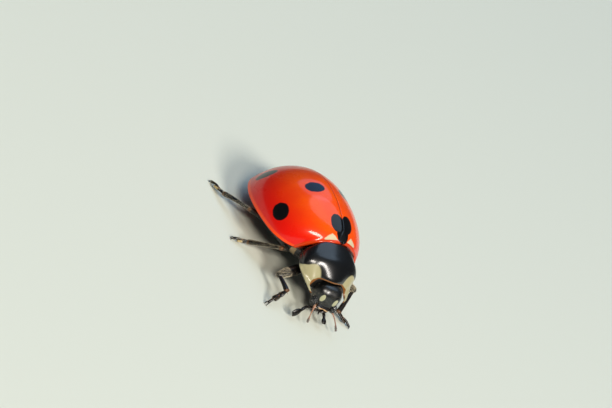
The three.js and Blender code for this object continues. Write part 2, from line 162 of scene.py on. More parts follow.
# ------------------------------------------------------------------ patches of surface
@dataclass
class Patch:
    """A piece of surface in millimetres of the body frame."""

    points: Array
    faces: list[tuple[int, ...]]
    places: list[tuple[float, float]]  # where each corner of each face lies on the unwrap
    marks: dict[str, Array] = field(default_factory=dict)
    lie: Array | None = None  # the way in which hairs lie at each point

    @classmethod
    def woven(cls, grid: Array, marks: dict[str, Array] | None = None, lie: Array | None = None) -> "Patch":
        """Weaves a grid of points into quads.

        Args:
            grid: Points, as rows by columns by 3.
            marks: Numbers for each point, as rows by columns, that a finish reads by name.
            lie: The way in which hairs lie at each point, as rows by columns by 3.

        Returns:
            The surface, with the grid's own rows and columns as its unwrap.
        """
        rows, columns = grid.shape[:2]
        index = np.arange(rows * columns).reshape(rows, columns)
        quads = np.stack([index[:-1, :-1], index[:-1, 1:], index[1:, 1:], index[1:, :-1]], -1).reshape(-1, 4)
        v, u = np.meshgrid(np.linspace(0, 1, rows), np.linspace(0, 1, columns), indexing="ij")
        flat = np.stack([u.ravel(), v.ravel()], -1)
        return cls(
            grid.reshape(-1, 3),
            [tuple(q) for q in quads.tolist()],
            [tuple(p) for p in flat[quads.ravel()].tolist()],
            {name: np.asarray(values, float).ravel() for name, values in (marks or {}).items()},
            None if lie is None else np.broadcast_to(lie, grid.shape).reshape(-1, 3),
        )

    def capped(self, rings: Iterable[Sequence[int]]) -> "Patch":
        """Adds one flat face over each ring of points.

        Args:
            rings: For each face, the numbers of its points in order.

        Returns:
            The same patch.
        """
        for ring in rings:
            self.faces.append(tuple(ring))
            self.places.extend([(0.0, 0.0)] * len(ring))
        return self

    @staticmethod
    def joined(patches: Sequence["Patch"]) -> "Patch":
        """Puts patches together, each in a tile of its own on the unwrap.

        Args:
            patches: The patches; a mark that one of them lacks is 0 on it.

        Returns:
            One patch.
        """
        across = math.ceil(math.sqrt(len(patches)))
        names = sorted({name for p in patches for name in p.marks})
        faces: list[tuple[int, ...]] = []
        places: list[tuple[float, float]] = []
        start = 0
        for k, p in enumerate(patches):
            tile = np.array([k % across, k // across]) + TILE_GAP
            faces += [tuple(i + start for i in f) for f in p.faces]
            places += ((tile + (1 - 2 * TILE_GAP) * np.array(p.places)) / across).tolist()
            start += len(p.points)
        zero = [np.zeros(len(p.points)) for p in patches]
        down = [np.tile([0.0, 0.0, -1.0], (len(p.points), 1)) for p in patches]
        return Patch(
            np.concatenate([p.points for p in patches]),
            faces,
            places,
            {n: np.concatenate([p.marks.get(n, z) for p, z in zip(patches, zero)]) for n in names},
            np.concatenate([d if p.lie is None else p.lie for p, d in zip(patches, down)]),
        )

    def mesh(self, name: str) -> Mesh:
        """Makes the mesh, with its seams and poles closed and its faces outwards.

        Args:
            name: The mesh's name.

        Returns:
            The mesh, in millimetres of the body frame.
        """
        mesh = bpy.data.meshes.new(name)
        mesh.from_pydata(self.points.tolist(), [], self.faces)
        unwrap = mesh.uv_layers.new(name=UNWRAP)
        unwrap.data.foreach_set("uv", np.asarray(self.places, np.float32).ravel())
        for mark, values in self.marks.items():
            mesh.attributes.new(mark, "FLOAT", "POINT").data.foreach_set("value", values.astype(np.float32))
        if self.lie is not None:
            flow = mesh.attributes.new("lie", "FLOAT_VECTOR", "POINT")
            flow.data.foreach_set("vector", self.lie.astype(np.float32).ravel())
        shape = bmesh.new()
        shape.from_mesh(mesh)
        bmesh.ops.remove_doubles(shape, verts=shape.verts, dist=MERGE_MM)
        bmesh.ops.dissolve_degenerate(shape, edges=shape.edges, dist=SLIVER_MM)
        bmesh.ops.recalc_face_normals(shape, faces=shape.faces)
        shape.to_mesh(mesh)
        shape.free()
        mesh.shade_smooth()
        return mesh


def facing(grid: Array) -> Array:
    """The direction that each point of a grid faces, from its rows and columns."""
    by_row, by_column = np.gradient(grid, axis=0), np.gradient(grid, axis=1)
    return unit(np.cross(by_row, by_column))


def drawn_shut(rings: Sequence[Array]) -> Array:
    """Stacks rings of points, and closes both ends to their middles."""
    first, last = (np.broadcast_to(ring.mean(0), ring.shape) for ring in (rings[0], rings[-1]))
    return np.stack([first, *rings, last])


ROUND_END_STEPS = (90, 66, 44, 22)  # degrees round a tube's end, from its pole


def walled(grid: Array, wall: Array | float, marks: dict[str, Array] | None = None) -> Patch:
    """Gives a sheet of surface a thickness, with rounded borders.

    Args:
        grid: The outer face, as rows by columns by 3, that faces as facing() says.
        wall: The thickness, in millimetres.
        marks: Numbers for each point of the outer face.

    Returns:
        A closed patch.
    """
    normal = facing(grid)
    wall = np.broadcast_to(np.asarray(wall, float), grid.shape[:2])[..., None]
    middle, inner = grid - normal * wall * 0.5, grid - normal * wall
    first = middle[0] + unit(grid[0] - grid[1]) * wall[0] * BORDER_BULGE
    last = middle[-1] + unit(grid[-1] - grid[-2]) * wall[-1] * BORDER_BULGE
    loop = np.concatenate([first[None], grid, last[None], inner[::-1], first[None]])
    numbers = {name: np.asarray(values, float) for name, values in (marks or {}).items()}
    held = {name: np.concatenate([v[:1], v, v[-1:], v[::-1], v[:1]]) for name, v in numbers.items()}
    patches = [Patch.woven(loop, held)]
    for edge, beside in ((0, 1), (-1, -2)):
        border = middle[:, edge] + unit(grid[:, edge] - grid[:, beside]) * wall[:, edge] * BORDER_BULGE
        strip = np.stack([grid[:, edge], border, inner[:, edge]], 1)
        strip = np.concatenate([np.tile(first[edge], (1, 3, 1)), strip, np.tile(last[edge], (1, 3, 1))])
        edge_marks = {
            name: np.repeat(np.concatenate([v[:1, edge], v[:, edge], v[-1:, edge]])[:, None], 3, 1)
            for name, v in numbers.items()
        }
        patches.append(Patch.woven(strip, edge_marks))
    return Patch.joined(patches)


def tube(
    path: Array, wide: Array, deep: Array, flat: Sequence[float], sides: int = 16,
    ends: tuple[float, float] = (1.0, 1.0), marks: dict[str, Array] | None = None,
) -> Patch:
    """A closed tube of oval section along a path, with rounded ends.

    Args:
        path: The points of its middle line.
        wide: Half of its width at each point, in the direction named by flat.
        deep: Half of its other width at each point.
        flat: The direction in which the section is wide.
        sides: How many points go round it.
        ends: How far the first and last end bulge, as a share of the half width there.
        marks: A number for each point of the path.

    Returns:
        A closed patch on which hairs lie towards the last end.
    """

    def stretch(values: Array) -> Array:
        """Repeats the first and last values over the steps of the rounded ends."""
        return np.concatenate([[values[0]] * len(steps), values, [values[-1]] * len(steps)])

    path, wide, deep, flat = (np.asarray(v, float) for v in (path, wide, deep, flat))
    way = unit(np.gradient(path, axis=0))
    steps = np.radians(ROUND_END_STEPS)
    start, finish = (0.5 * (wide[k] + deep[k]) * ends[k] for k in (0, -1))
    centres = [*(path[0] - way[0] * start * np.sin(a) for a in steps), *path]
    centres += [path[-1] + way[-1] * finish * np.sin(a) for a in steps[::-1]]
    shrink = np.concatenate([np.cos(steps), np.ones(len(path)), np.cos(steps[::-1])])
    centres, way = np.asarray(centres), stretch(way)
    wide, deep = stretch(wide) * shrink, stretch(deep) * shrink
    across = unit(flat - way * (way @ flat)[:, None])
    over = np.cross(way, across)
    angle = np.linspace(0, 2 * math.pi, sides + 1)
    c, s = np.cos(angle)[None, :, None], np.sin(angle)[None, :, None]
    section = wide[:, None, None] * c * across[:, None] + deep[:, None, None] * s * over[:, None]
    held = {
        name: np.repeat(stretch(np.asarray(values, float))[:, None], sides + 1, 1)
        for name, values in (marks or {}).items()
    }
    return Patch.woven(centres[:, None] + section, held, np.repeat(way[:, None], sides + 1, 1))


# ------------------------------------------------------------------ nodes and finishes
# the kinds of node that come up again and again
MATH = "ShaderNodeMath"
VECTOR_MATH = "ShaderNodeVectorMath"
MAP_RANGE = "ShaderNodeMapRange"
MIX = "ShaderNodeMix"
COMBINE = "ShaderNodeCombineXYZ"
SEPARATE = "ShaderNodeSeparateXYZ"
READ = "GeometryNodeInputNamedAttribute"
STORE = "GeometryNodeStoreNamedAttribute"
ALIGN = "FunctionNodeAlignRotationToVector"
SET_PLACE = "GeometryNodeSetPosition"


def linear(colour: str) -> tuple[float, float, float, float]:
    """Turns an sRGB colour to a linear one.

    Args:
        colour: The colour in hex, such as #e84a10.

    Returns:
        Linear red, green, blue and alpha.
    """
    parts = [int(colour.lstrip("#")[k : k + 2], 16) / 255 for k in (0, 2, 4)]
    red, green, blue = (c / 12.92 if c <= 0.04045 else ((c + 0.055) / 1.055) ** 2.4 for c in parts)
    return red, green, blue, 1.0


def node(tree: NodeTree, kind: str, inputs: dict[Any, Any] | None = None, **settings: Any) -> Node:
    """Adds a node to a tree.

    Args:
        tree: A material's, the world's or a Geometry Nodes tree.
        kind: The node's type.
        inputs: For an input's name or number, its value, the output that feeds it, or the node whose
            first output does.
        settings: The node's own properties.

    Returns:
        The new node.
    """
    made = tree.nodes.new(kind)
    for name, value in settings.items():
        setattr(made, name, value)
    for key, value in (inputs or {}).items():
        named = (s for s in made.inputs if s.name == key and s.enabled)
        socket = made.inputs[key] if isinstance(key, int) else next(named)
        if isinstance(value, Node):
            value = next(s for s in value.outputs if s.enabled)
        if isinstance(value, NodeSocket):
            tree.links.new(value, socket)
        else:
            socket.default_value = value
    return made


def shown(name: str, data: ID) -> Object:
    """Puts a new object in the scene.

    Args:
        name: Its name.
        data: Its mesh, light or camera.

    Returns:
        The object, at the origin.
    """
    made = bpy.data.objects.new(name, data)
    bpy.context.scene.collection.objects.link(made)
    return made


def started(name: str, inputs: dict[str, str]) -> tuple[GeometryNodeTree, Any]:
    """Starts a Geometry Nodes tree.

    Args:
        name: The tree's name.
        inputs: The kind of each named input that it has besides its geometry, such as Float.

    Returns:
        The tree, and its inputs as the outputs of its first node.
    """
    made = bpy.data.node_groups.new(name, "GeometryNodeTree")
    for key, kind in {"Geometry": "Geometry", **inputs}.items():
        made.interface.new_socket(key, in_out="INPUT", socket_type=f"NodeSocket{kind}")
    made.interface.new_socket("Geometry", in_out="OUTPUT", socket_type="NodeSocketGeometry")
    return made, node(made, "NodeGroupInput").outputs


def grown(piece: Object, tree: GeometryNodeTree, inputs: dict[str, Any], name: str) -> Object:
    """Runs a Geometry Nodes tree on a piece and keeps the result as a plain mesh.

    Args:
        piece: The object that the tree starts from; it is removed.
        tree: The tree.
        inputs: A value for each named input.
        name: The name of the result.

    Returns:
        A new object that holds the result.
    """
    modifier = piece.modifiers.new("nodes", "NODES")
    modifier.node_group = tree
    for item in tree.interface.items_tree:
        if item.item_type == "SOCKET" and item.in_out == "INPUT" and item.name in inputs:
            modifier[item.identifier] = inputs[item.name]
    bpy.context.view_layer.update()
    graph = bpy.context.evaluated_depsgraph_get()
    ready = piece.evaluated_get(graph)
    mesh = bpy.data.meshes.new_from_object(ready, preserve_all_data_layers=True, depsgraph=graph)
    mesh.name = name
    piece.modifiers.remove(modifier)
    bpy.data.objects.remove(piece)
    return shown(name, mesh)


@dataclass(frozen=True)
class Mark:
    """An oval mark on the shell: its middle and its two half axes, in millimetres of the body frame."""

    centre: Point
    along: Point
    across: Point
    colour: str
    blur: float = 0.1
    depth: float = 1.0
    diamond: float = 0.0  # 0 is an oval and 1 has straight sides between its four tips

    def mask(self, tree: NodeTree, place: Node) -> Node:
        """Draws the mark as nodes.

        Args:
            tree: The material's tree.
            place: The node that gives the place in the body frame.

        Returns:
            The node that gives 1 inside the mark and 0 outside.
        """
        outward = Vector(self.along).cross(Vector(self.across)).normalized() * self.depth
        from_centre = {0: place, 1: self.centre}
        offset = node(tree, VECTOR_MATH, from_centre, operation="SUBTRACT")
        shares = []
        for axis in (Vector(self.along), Vector(self.across), outward):
            scaled = axis / axis.length_squared
            shares.append(node(tree, VECTOR_MATH, {0: offset, 1: scaled}, operation="DOT_PRODUCT"))
        size = node(tree, COMBINE, dict(enumerate(shares)))
        reach = node(tree, VECTOR_MATH, {0: size}, operation="LENGTH")
        if self.diamond:
            folded = node(tree, VECTOR_MATH, {0: size}, operation="ABSOLUTE")
            sides = {0: folded, 1: (1.0, 1.0, 1.0)}
            straight = node(tree, VECTOR_MATH, sides, operation="DOT_PRODUCT")
            blended = {"Factor": self.diamond, "A": reach, "B": straight}
            reach = node(tree, MIX, blended)
        limits = {"Value": reach, 1: 1 + self.blur / 2, 2: 1 - self.blur / 2}
        return node(tree, MAP_RANGE, limits, interpolation_type="SMOOTHSTEP")


@dataclass(frozen=True)
class PaintedEdge:
    """A colour that a piece takes where one of its own marks passes a level."""

    mark: str
    colour: str
    start: float = 0.4
    end: float = 0.6

    def mask(self, tree: NodeTree, _place: Node) -> Node:
        """Draws the edge as nodes.

        Args:
            tree: The material's tree.
            _place: Not used: the edge follows the piece's own numbers.

        Returns:
            The node that gives 1 where the colour is and 0 elsewhere.
        """
        held = node(tree, "ShaderNodeAttribute", attribute_name=self.mark)
        limits = {"Value": held.outputs["Fac"], 1: self.start, 2: self.end}
        return node(tree, MAP_RANGE, limits, interpolation_type="SMOOTHSTEP")


RAGGED_MM = 0.2  # from one bump to the next along the edge of a mark
NET_MM = 0.04  # the cells of the cuticle's net are 0.02 mm, drawn twice as wide so that they show
TONE_RANGE = (0.35, 0.65)  # the part of the cloud noise that runs from one tone to the other
GLOSS_SPREAD = 0.15  # how much rougher and smoother than its mean a cuticle is in places
GLOW_REACH = (1.0, 0.35, 0.12)  # how far red, green and blue light travel inside, against each other
GLOW_MM = 0.15  # and how far red light does


@dataclass(frozen=True)
class Cuticle:
    """The hard skin of a beetle: its colour, its gloss and the pits and net pressed into it."""

    name: str
    colour: str
    second_colour: str
    roughness: float
    cloud_mm: float = 1.0  # how far apart its paler and darker places lie
    coat: float = 0.0  # a waxy film on it
    coat_roughness: float = 0.05
    ior: float = 1.5
    specular: float = 0.5
    glow: float = 0.0  # how much light passes through it
    pit_mm: float = 0.1  # from pit to pit
    pit_depth_mm: float = 0.004
    pit_share: float = 0.3  # of the distance between pits
    net_depth_mm: float = 0.0
    wobble_mm: float = 0.03  # how uneven the edges of its marks are
    marks: tuple[Mark | PaintedEdge, ...] = ()

    def build(self, body: BodyFrame) -> Material:
        """Makes the material.

        Args:
            body: The frame in which its marks are placed.

        Returns:
            The material, its pattern in millimetres of the body frame.
        """
        made = bpy.data.materials.new(self.name)
        made.use_nodes = True
        tree = made.node_tree
        tree.nodes.clear()
        object_place = node(tree, "ShaderNodeTexCoord").outputs["Object"]
        to_body = {0: object_place, 1: (1 / MM,) * 3, 2: tuple(-c for c in body.origin)}
        place = node(tree, VECTOR_MATH, to_body, operation="MULTIPLY_ADD")

        cloud = node(tree, "ShaderNodeTexNoise", {"Vector": place, "Scale": 1 / self.cloud_mm, "Detail": 3.0})
        toned = {"Value": cloud, 1: TONE_RANGE[0], 2: TONE_RANGE[1]}
        tone = node(tree, MAP_RANGE, toned)
        colours = {"Factor": tone, "A": linear(self.colour), "B": linear(self.second_colour)}
        colour = node(tree, MIX, colours, data_type="RGBA")

        ragged = node(tree, "ShaderNodeTexNoise", {"Vector": place, "Scale": 1 / RAGGED_MM, "Detail": 2.0})
        drift = {0: ragged.outputs["Color"], 1: (0.5,) * 3}
        centred = node(tree, VECTOR_MATH, drift, operation="SUBTRACT")
        uneven = {0: centred, 1: (2 * self.wobble_mm,) * 3, 2: place}
        marked_place = node(tree, VECTOR_MATH, uneven, operation="MULTIPLY_ADD")
        for mark in self.marks:
            mask = mark.mask(tree, marked_place)
            painted = {"Factor": mask, "A": colour, "B": linear(mark.colour)}
            colour = node(tree, MIX, painted, data_type="RGBA")

        wear = {"Value": tone, 3: self.roughness * (1 - GLOSS_SPREAD), 4: self.roughness * (1 + GLOSS_SPREAD)}
        rough = node(tree, MAP_RANGE, wear)
        look = {
            "Base Color": colour, "Roughness": rough, "IOR": self.ior, "Specular IOR Level": self.specular,
            "Coat Weight": self.coat, "Coat Roughness": self.coat_roughness, "Subsurface Weight": self.glow,
            "Subsurface Scale": GLOW_MM * MM, "Subsurface Radius": GLOW_REACH,
        }
        relief = self.relief(tree, place)
        if relief:
            look["Normal"] = relief
        node(tree, "ShaderNodeOutputMaterial", {"Surface": node(tree, "ShaderNodeBsdfPrincipled", look)})
        return made

    def relief(self, tree: NodeTree, place: Node) -> Node | None:
        """Presses the pits and the net into the cuticle.

        Args:
            tree: The material's tree.
            place: The node that gives the place in the body frame.

        Returns:
            The node that gives the normal, or None on a smooth cuticle.
        """
        if not self.pit_depth_mm:
            return None
        pits = node(tree, "ShaderNodeTexVoronoi", {"Vector": place, "Scale": 1 / self.pit_mm})
        bowl = {"Value": pits, 1: 0.0, 2: self.pit_share, 3: 0.0, 4: 1.0}
        height = node(tree, MAP_RANGE, bowl, interpolation_type="SMOOTHSTEP")
        pressed = {"Height": height, "Strength": 1.0, "Distance": self.pit_depth_mm * MM}
        normal = node(tree, "ShaderNodeBump", pressed)
        if self.net_depth_mm:
            cells = {"Vector": place, "Scale": 1 / NET_MM}
            net = node(tree, "ShaderNodeTexVoronoi", cells, feature="DISTANCE_TO_EDGE")
            raised = {"Height": net, "Distance": self.net_depth_mm * MM, "Normal": normal}
            normal = node(tree, "ShaderNodeBump", raised)
        return normal


# ------------------------------------------------------------------ the workshop
class Workshop:
    """Makes the pieces: it holds the body frame and the finishes made so far."""

    def __init__(self, body: BodyFrame) -> None:
        """Starts with no finishes."""
        self.body = body
        self.materials: dict[str, Material] = {}

    def material(self, finish: Cuticle) -> Material:
        """The finish's material, made the first time that it is asked for.

        Args:
            finish: The finish.

        Returns:
            Its material.
        """
        if finish.name not in self.materials:
            self.materials[finish.name] = finish.build(self.body)
        return self.materials[finish.name]

    def loose(self, name: str, patch: Patch) -> Object:
        """An object in millimetres of the body frame, to be worked on further."""
        return shown(name, patch.mesh(name))

    def settle(self, piece: Object, nodes: Sequence[str] = ()) -> Object:
        """Puts a finished piece in its place in the row frame.

        Args:
            piece: The object, its mesh in millimetres of the body frame.
            nodes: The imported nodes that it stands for.

        Returns:
            The same object, riding on the body.
        """
        piece.data.transform(self.body.matrix())
        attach(piece, "root")
        if nodes:
            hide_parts(*nodes)
        faces = sum(len(p.vertices) - 2 for p in piece.data.polygons)
        LOG.info("%s: %d triangles for %s", piece.name, faces, ", ".join(nodes) or "no node")
        return piece

    def make(self, name: str, patch: Patch, finish: Cuticle, nodes: Sequence[str]) -> Object:
        """Makes a piece from a patch and settles it.

        Args:
            name: The piece's name.
            patch: Its surface.
            finish: Its finish.
            nodes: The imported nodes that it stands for.

        Returns:
            The piece.
        """
        piece = self.loose(name, patch)
        piece.data.materials.append(self.material(finish))
        return self.settle(piece, nodes)


# ------------------------------------------------------------------ the wing cases
@dataclass(frozen=True)
class Dome:
    """The one dome that the two wing cases make. Its base is at y = 0."""

    length: float = 6.01
    half_width: float = 2.786
    widest_at: float = 2.58
    front_reach: float = 3.31
    plan_power: float = 2.29
    height: float = 2.496
    crown_at: float = 3.11
    crown_front_reach: float = 3.79
    tail_power: float = 1.82
    margin_at_base: float = 1.77
    margin_fall: float = 0.158
    shoulder_back: float = 0.13
    shoulder_round: float = 0.09  # how much further back the shoulder's very corner lies
    shoulder_skew: float = 0.21  # the left shoulder is pushed this far forward and the right one back
    shoulder_reach: float = 1.5
    section_power: float = 1.144
    front_inset: float = 0.44  # how much of an inset also draws the front in

    def half_width_at(self, y: Array, inset: Array | float = 0.0) -> Array:
        """Half of the dome's width.

        Args:
            y: Places along the body.
            inset: How far the outline is drawn in.

        Returns:
            The half width at each place.
        """
        ahead = np.asarray(y, float) < self.widest_at
        front = self.front_reach - np.asarray(inset) * self.front_inset
        reach = np.where(ahead, front, self.length - self.widest_at - np.asarray(inset))
        share = np.minimum(np.abs(y - self.widest_at) / reach, 1)
        return (self.half_width - inset) * np.sqrt(1 - share**self.plan_power)

    def crown_over_margin(self, y: Array) -> Array:
        """Height of the crown over the margin.

        Args:
            y: Places along the body.

        Returns:
            The height at each place.
        """
        ahead = np.asarray(y, float) < self.crown_at
        reach = np.where(ahead, self.crown_front_reach, self.length - self.crown_at)
        share = np.minimum(np.abs(y - self.crown_at) / reach, 1)
        return self.height * np.sqrt(1 - share ** np.where(ahead, 2, self.tail_power))

    def margin(self, y: Array) -> Array:
        """Height of the margin over the floor at y."""
        return self.margin_at_base - self.margin_fall * np.asarray(y, float)

    def share_out(self, x: Array, y: Array) -> Array:
        """How far out a place in plan lies, from 0 on the suture to 1 on the outline."""
        return np.clip(np.abs(x) / np.maximum(self.half_width_at(y), TINY), 0, 1)

    def height_at(self, x: Array, y: Array) -> Array:
        """Height of the dome over the floor at a place in plan, before the shoulders are drawn back."""
        fullness = 1 - self.share_out(x, y) ** (2 / self.section_power)
        return self.margin(y) + self.crown_over_margin(y) * fullness ** (self.section_power / 2)

    def drawn_back(self, x: Array, y: Array) -> Array:
        """How much further back the shoulder's curve puts a place.

        Args:
            x: Places across the body.
            y: Places along the body.

        Returns:
            The distance for each place.
        """
        share = self.share_out(x, y)
        near_base = np.maximum(1 - y / self.shoulder_reach, 0)
        back = self.shoulder_back * share ** (2 / self.section_power) + self.shoulder_round * share**6
        return (back - self.shoulder_skew * np.sign(x) * share**2) * near_base**2

    def on_top(self, x: Array, y: Array) -> Array:
        """The point of the dome over a place in plan."""
        x, y = np.asarray(x, float), np.asarray(y, float)
        return np.stack([x, y + self.drawn_back(x, y), self.height_at(x, y)], -1)

    def mark(
        self, x: float, y: float, long: float, wide: float, turn: float, colour: str, **more: float
    ) -> Mark:
        """An oval mark that lies on the dome.

        Args:
            x: Where its middle is across the body.
            y: Where its middle is along the body.
            long: Its half axis along the body.
            wide: Its half axis across the body.
            turn: How far it is turned from the body's own direction, in degrees.
            colour: Its colour.
            more: Further fields of the mark.

        Returns:
            The mark.
        """
        step = 0.01
        centre = self.on_top(x, y)
        back = unit(self.on_top(x, y + step) - centre)
        side = unit(self.on_top(x + step, y) - centre)
        side = unit(side - back * (side @ back))
        c, s = math.cos(math.radians(turn)), math.sin(math.radians(turn))
        first, second = (back * c + side * s) * long, (side * c - back * s) * wide
        return Mark(tuple(centre), tuple(first), tuple(second), colour, **more)


@dataclass(frozen=True)
class WingCase:
    """One wing case: its dome, the turned-up rim, the ledge under it and the wall along the suture."""

    side: Side
    dome: Dome
    rows: int = 76
    columns: int = 58
    inner_columns: int = 12
    wall: float = 0.15
    suture_gap: float = 0.003
    suture_groove: float = 0.014
    groove_reach: float = 0.03
    gutter: float = 0.055  # how wide the flat channel inside the rim is,
    gutter_fade: float = 0.8  # and how far in it has faded away
    rim: float = 0.032  # radius of the rim's bead
    ledge: Numbers = (0.52, 0.5, 0.42, 0.32, 0.22, 0.13)  # width of the fold, base to tail
    ledge_most: float = 0.45  # the fold takes up no more than this share of the way to the suture
    ledge_lift: float = 0.03  # how far its inner border turns up
    base_roll: float = 0.09
    spine_end: float = 4.9  # up to here the rows start on the suture, and past it they fan out

    def plan_rows(self) -> tuple[Array, Array, Array]:
        """The rows in plan.

        Returns:
            Where each row starts on the outline, its direction inwards, and its length to the suture.
        """
        t = np.linspace(0, 1, self.rows)
        y = self.dome.length * np.sin(t * QUARTER)
        outline = np.stack([np.maximum(self.dome.half_width_at(y), self.suture_gap), y], -1)
        suture = np.stack([np.full_like(t, self.suture_gap), self.spine_end * t], -1)
        return outline, unit(suture - outline), np.linalg.norm(outline - suture, axis=-1)[:, None]

    def inside(self, depth: Array) -> Array:
        """The places in plan that lie so deep inside the outline, row by row."""
        outline, inward, _ = self.plan_rows()
        return outline[:, None] + inward[:, None] * depth[..., None]

    def lifted(self, plan: Array, level: Array) -> Array:
        """Lifts places in plan to a level, and draws them back as the shoulder's curve asks."""
        back = self.dome.drawn_back(plan[..., 0] * self.side.value, plan[..., 1])
        return np.stack([plan[..., 0], plan[..., 1] + back, level], -1)

    def outer_face(self) -> tuple[Array, Array, Array]:
        """The face that shows, from the suture out to the rim.

        Returns:
            Its points, their places in plan and their distances from the outline.
        """
        _, _, span = self.plan_rows()
        share = np.sin(np.linspace(0, QUARTER, self.columns)) ** self.dome.section_power
        from_edge = (1 - share)[None] * span
        channel = self.gutter * (1 - np.exp(-from_edge / self.gutter)) * np.exp(-from_edge / self.gutter_fade)
        seen, lower = self.inside(from_edge), self.inside(from_edge - channel)
        level = self.dome.height_at(lower[..., 0], lower[..., 1])
        level += 0.6 * self.rim * hump(from_edge, 0, 0.8 * self.rim)
        level -= self.suture_groove * hump(seen[..., 0], self.suture_gap, self.groove_reach)
        return self.lifted(seen, level), seen, from_edge

    def hidden_faces(self, edge: Array) -> Array:
        """The bead of the rim, the ledge folded in under it and the inner face of the wall.

        Args:
            edge: The points along the rim.

        Returns:
            Points, as rows by steps by 3, from the rim to the suture.
        """
        _, inward, span = self.plan_rows()
        reach = np.minimum(along(self.ledge, np.linspace(0, 1, self.rows))[:, None], self.ledge_most * span)
        flat_in = np.concatenate([inward, np.zeros((self.rows, 1))], -1)
        bead = [
            edge + flat_in * self.rim * (1 - math.cos(a)) - UP * self.rim * math.sin(a)
            for a in np.radians([25, 50, 75, 90])
        ]
        fold = [
            edge + flat_in * (self.rim + (reach - self.rim) * f) - UP * (self.rim - 0.1 * reach * f * f)
            for f in (0.15, 0.4, 0.7, 0.93, 1.0)
        ]
        fold[-1] = fold[-1] + UP * self.ledge_lift
        plan = self.inside(reach + (span - reach) * np.linspace(0, 1, self.inner_columns)[None])
        level = self.dome.height_at(plan[..., 0], plan[..., 1]) - self.wall
        level = np.maximum(level, fold[-1][:, None, 2] + 0.02)
        return np.concatenate([np.stack(bead + fold, 1), self.lifted(plan, level)], 1)

    def grid(self) -> tuple[Array, dict[str, Array]]:
        """The sections of the wing case.

        Returns:
            The closed sections, row by row, and the marks of their points.
        """
        outer, seen, from_edge = self.outer_face()
        loop = np.concatenate([outer, self.hidden_faces(outer[:, -1]), outer[:, :1]], 1)
        hidden = loop.shape[1] - self.columns
        marks = {
            "from_edge": np.pad(from_edge, ((0, 0), (0, hidden))),
            "from_base": np.concatenate([seen[..., 1], np.repeat(seen[:, :1, 1], hidden, 1)], 1),
            "from_suture": np.abs(loop[..., 0]),
        }
        return loop, marks

    def patch(self) -> Patch:
        """The whole wing case as one closed patch.

        Returns:
            A closed patch, with the marks that its finish reads.
        """
        loop, marks = self.grid()
        middle = np.array([self.dome.half_width_at(np.array(0.0)) * 0.5, 0.3, loop[0, :, 2].mean() - 0.2])
        rolled = []
        for angle in np.radians([75, 50, 25]):
            toward = unit((middle - loop[0]) * [1, 0, 1])
            drawn_in = self.base_roll * (1 - math.cos(angle))
            rolled.append(loop[0] + toward * drawn_in - np.array([0, self.base_roll * math.sin(angle), 0]))
        grid = np.concatenate([np.stack(rolled), loop])
        held = {n: np.concatenate([np.repeat(v[:1], len(rolled), 0), v]) for n, v in marks.items()}
        grid[..., 0] *= self.side.value
        made = Patch.woven(grid, held)
        columns = grid.shape[1]
        last = (grid.shape[0] - 1) * columns
        return made.capped([range(columns - 1), range(last, last + columns - 1)])


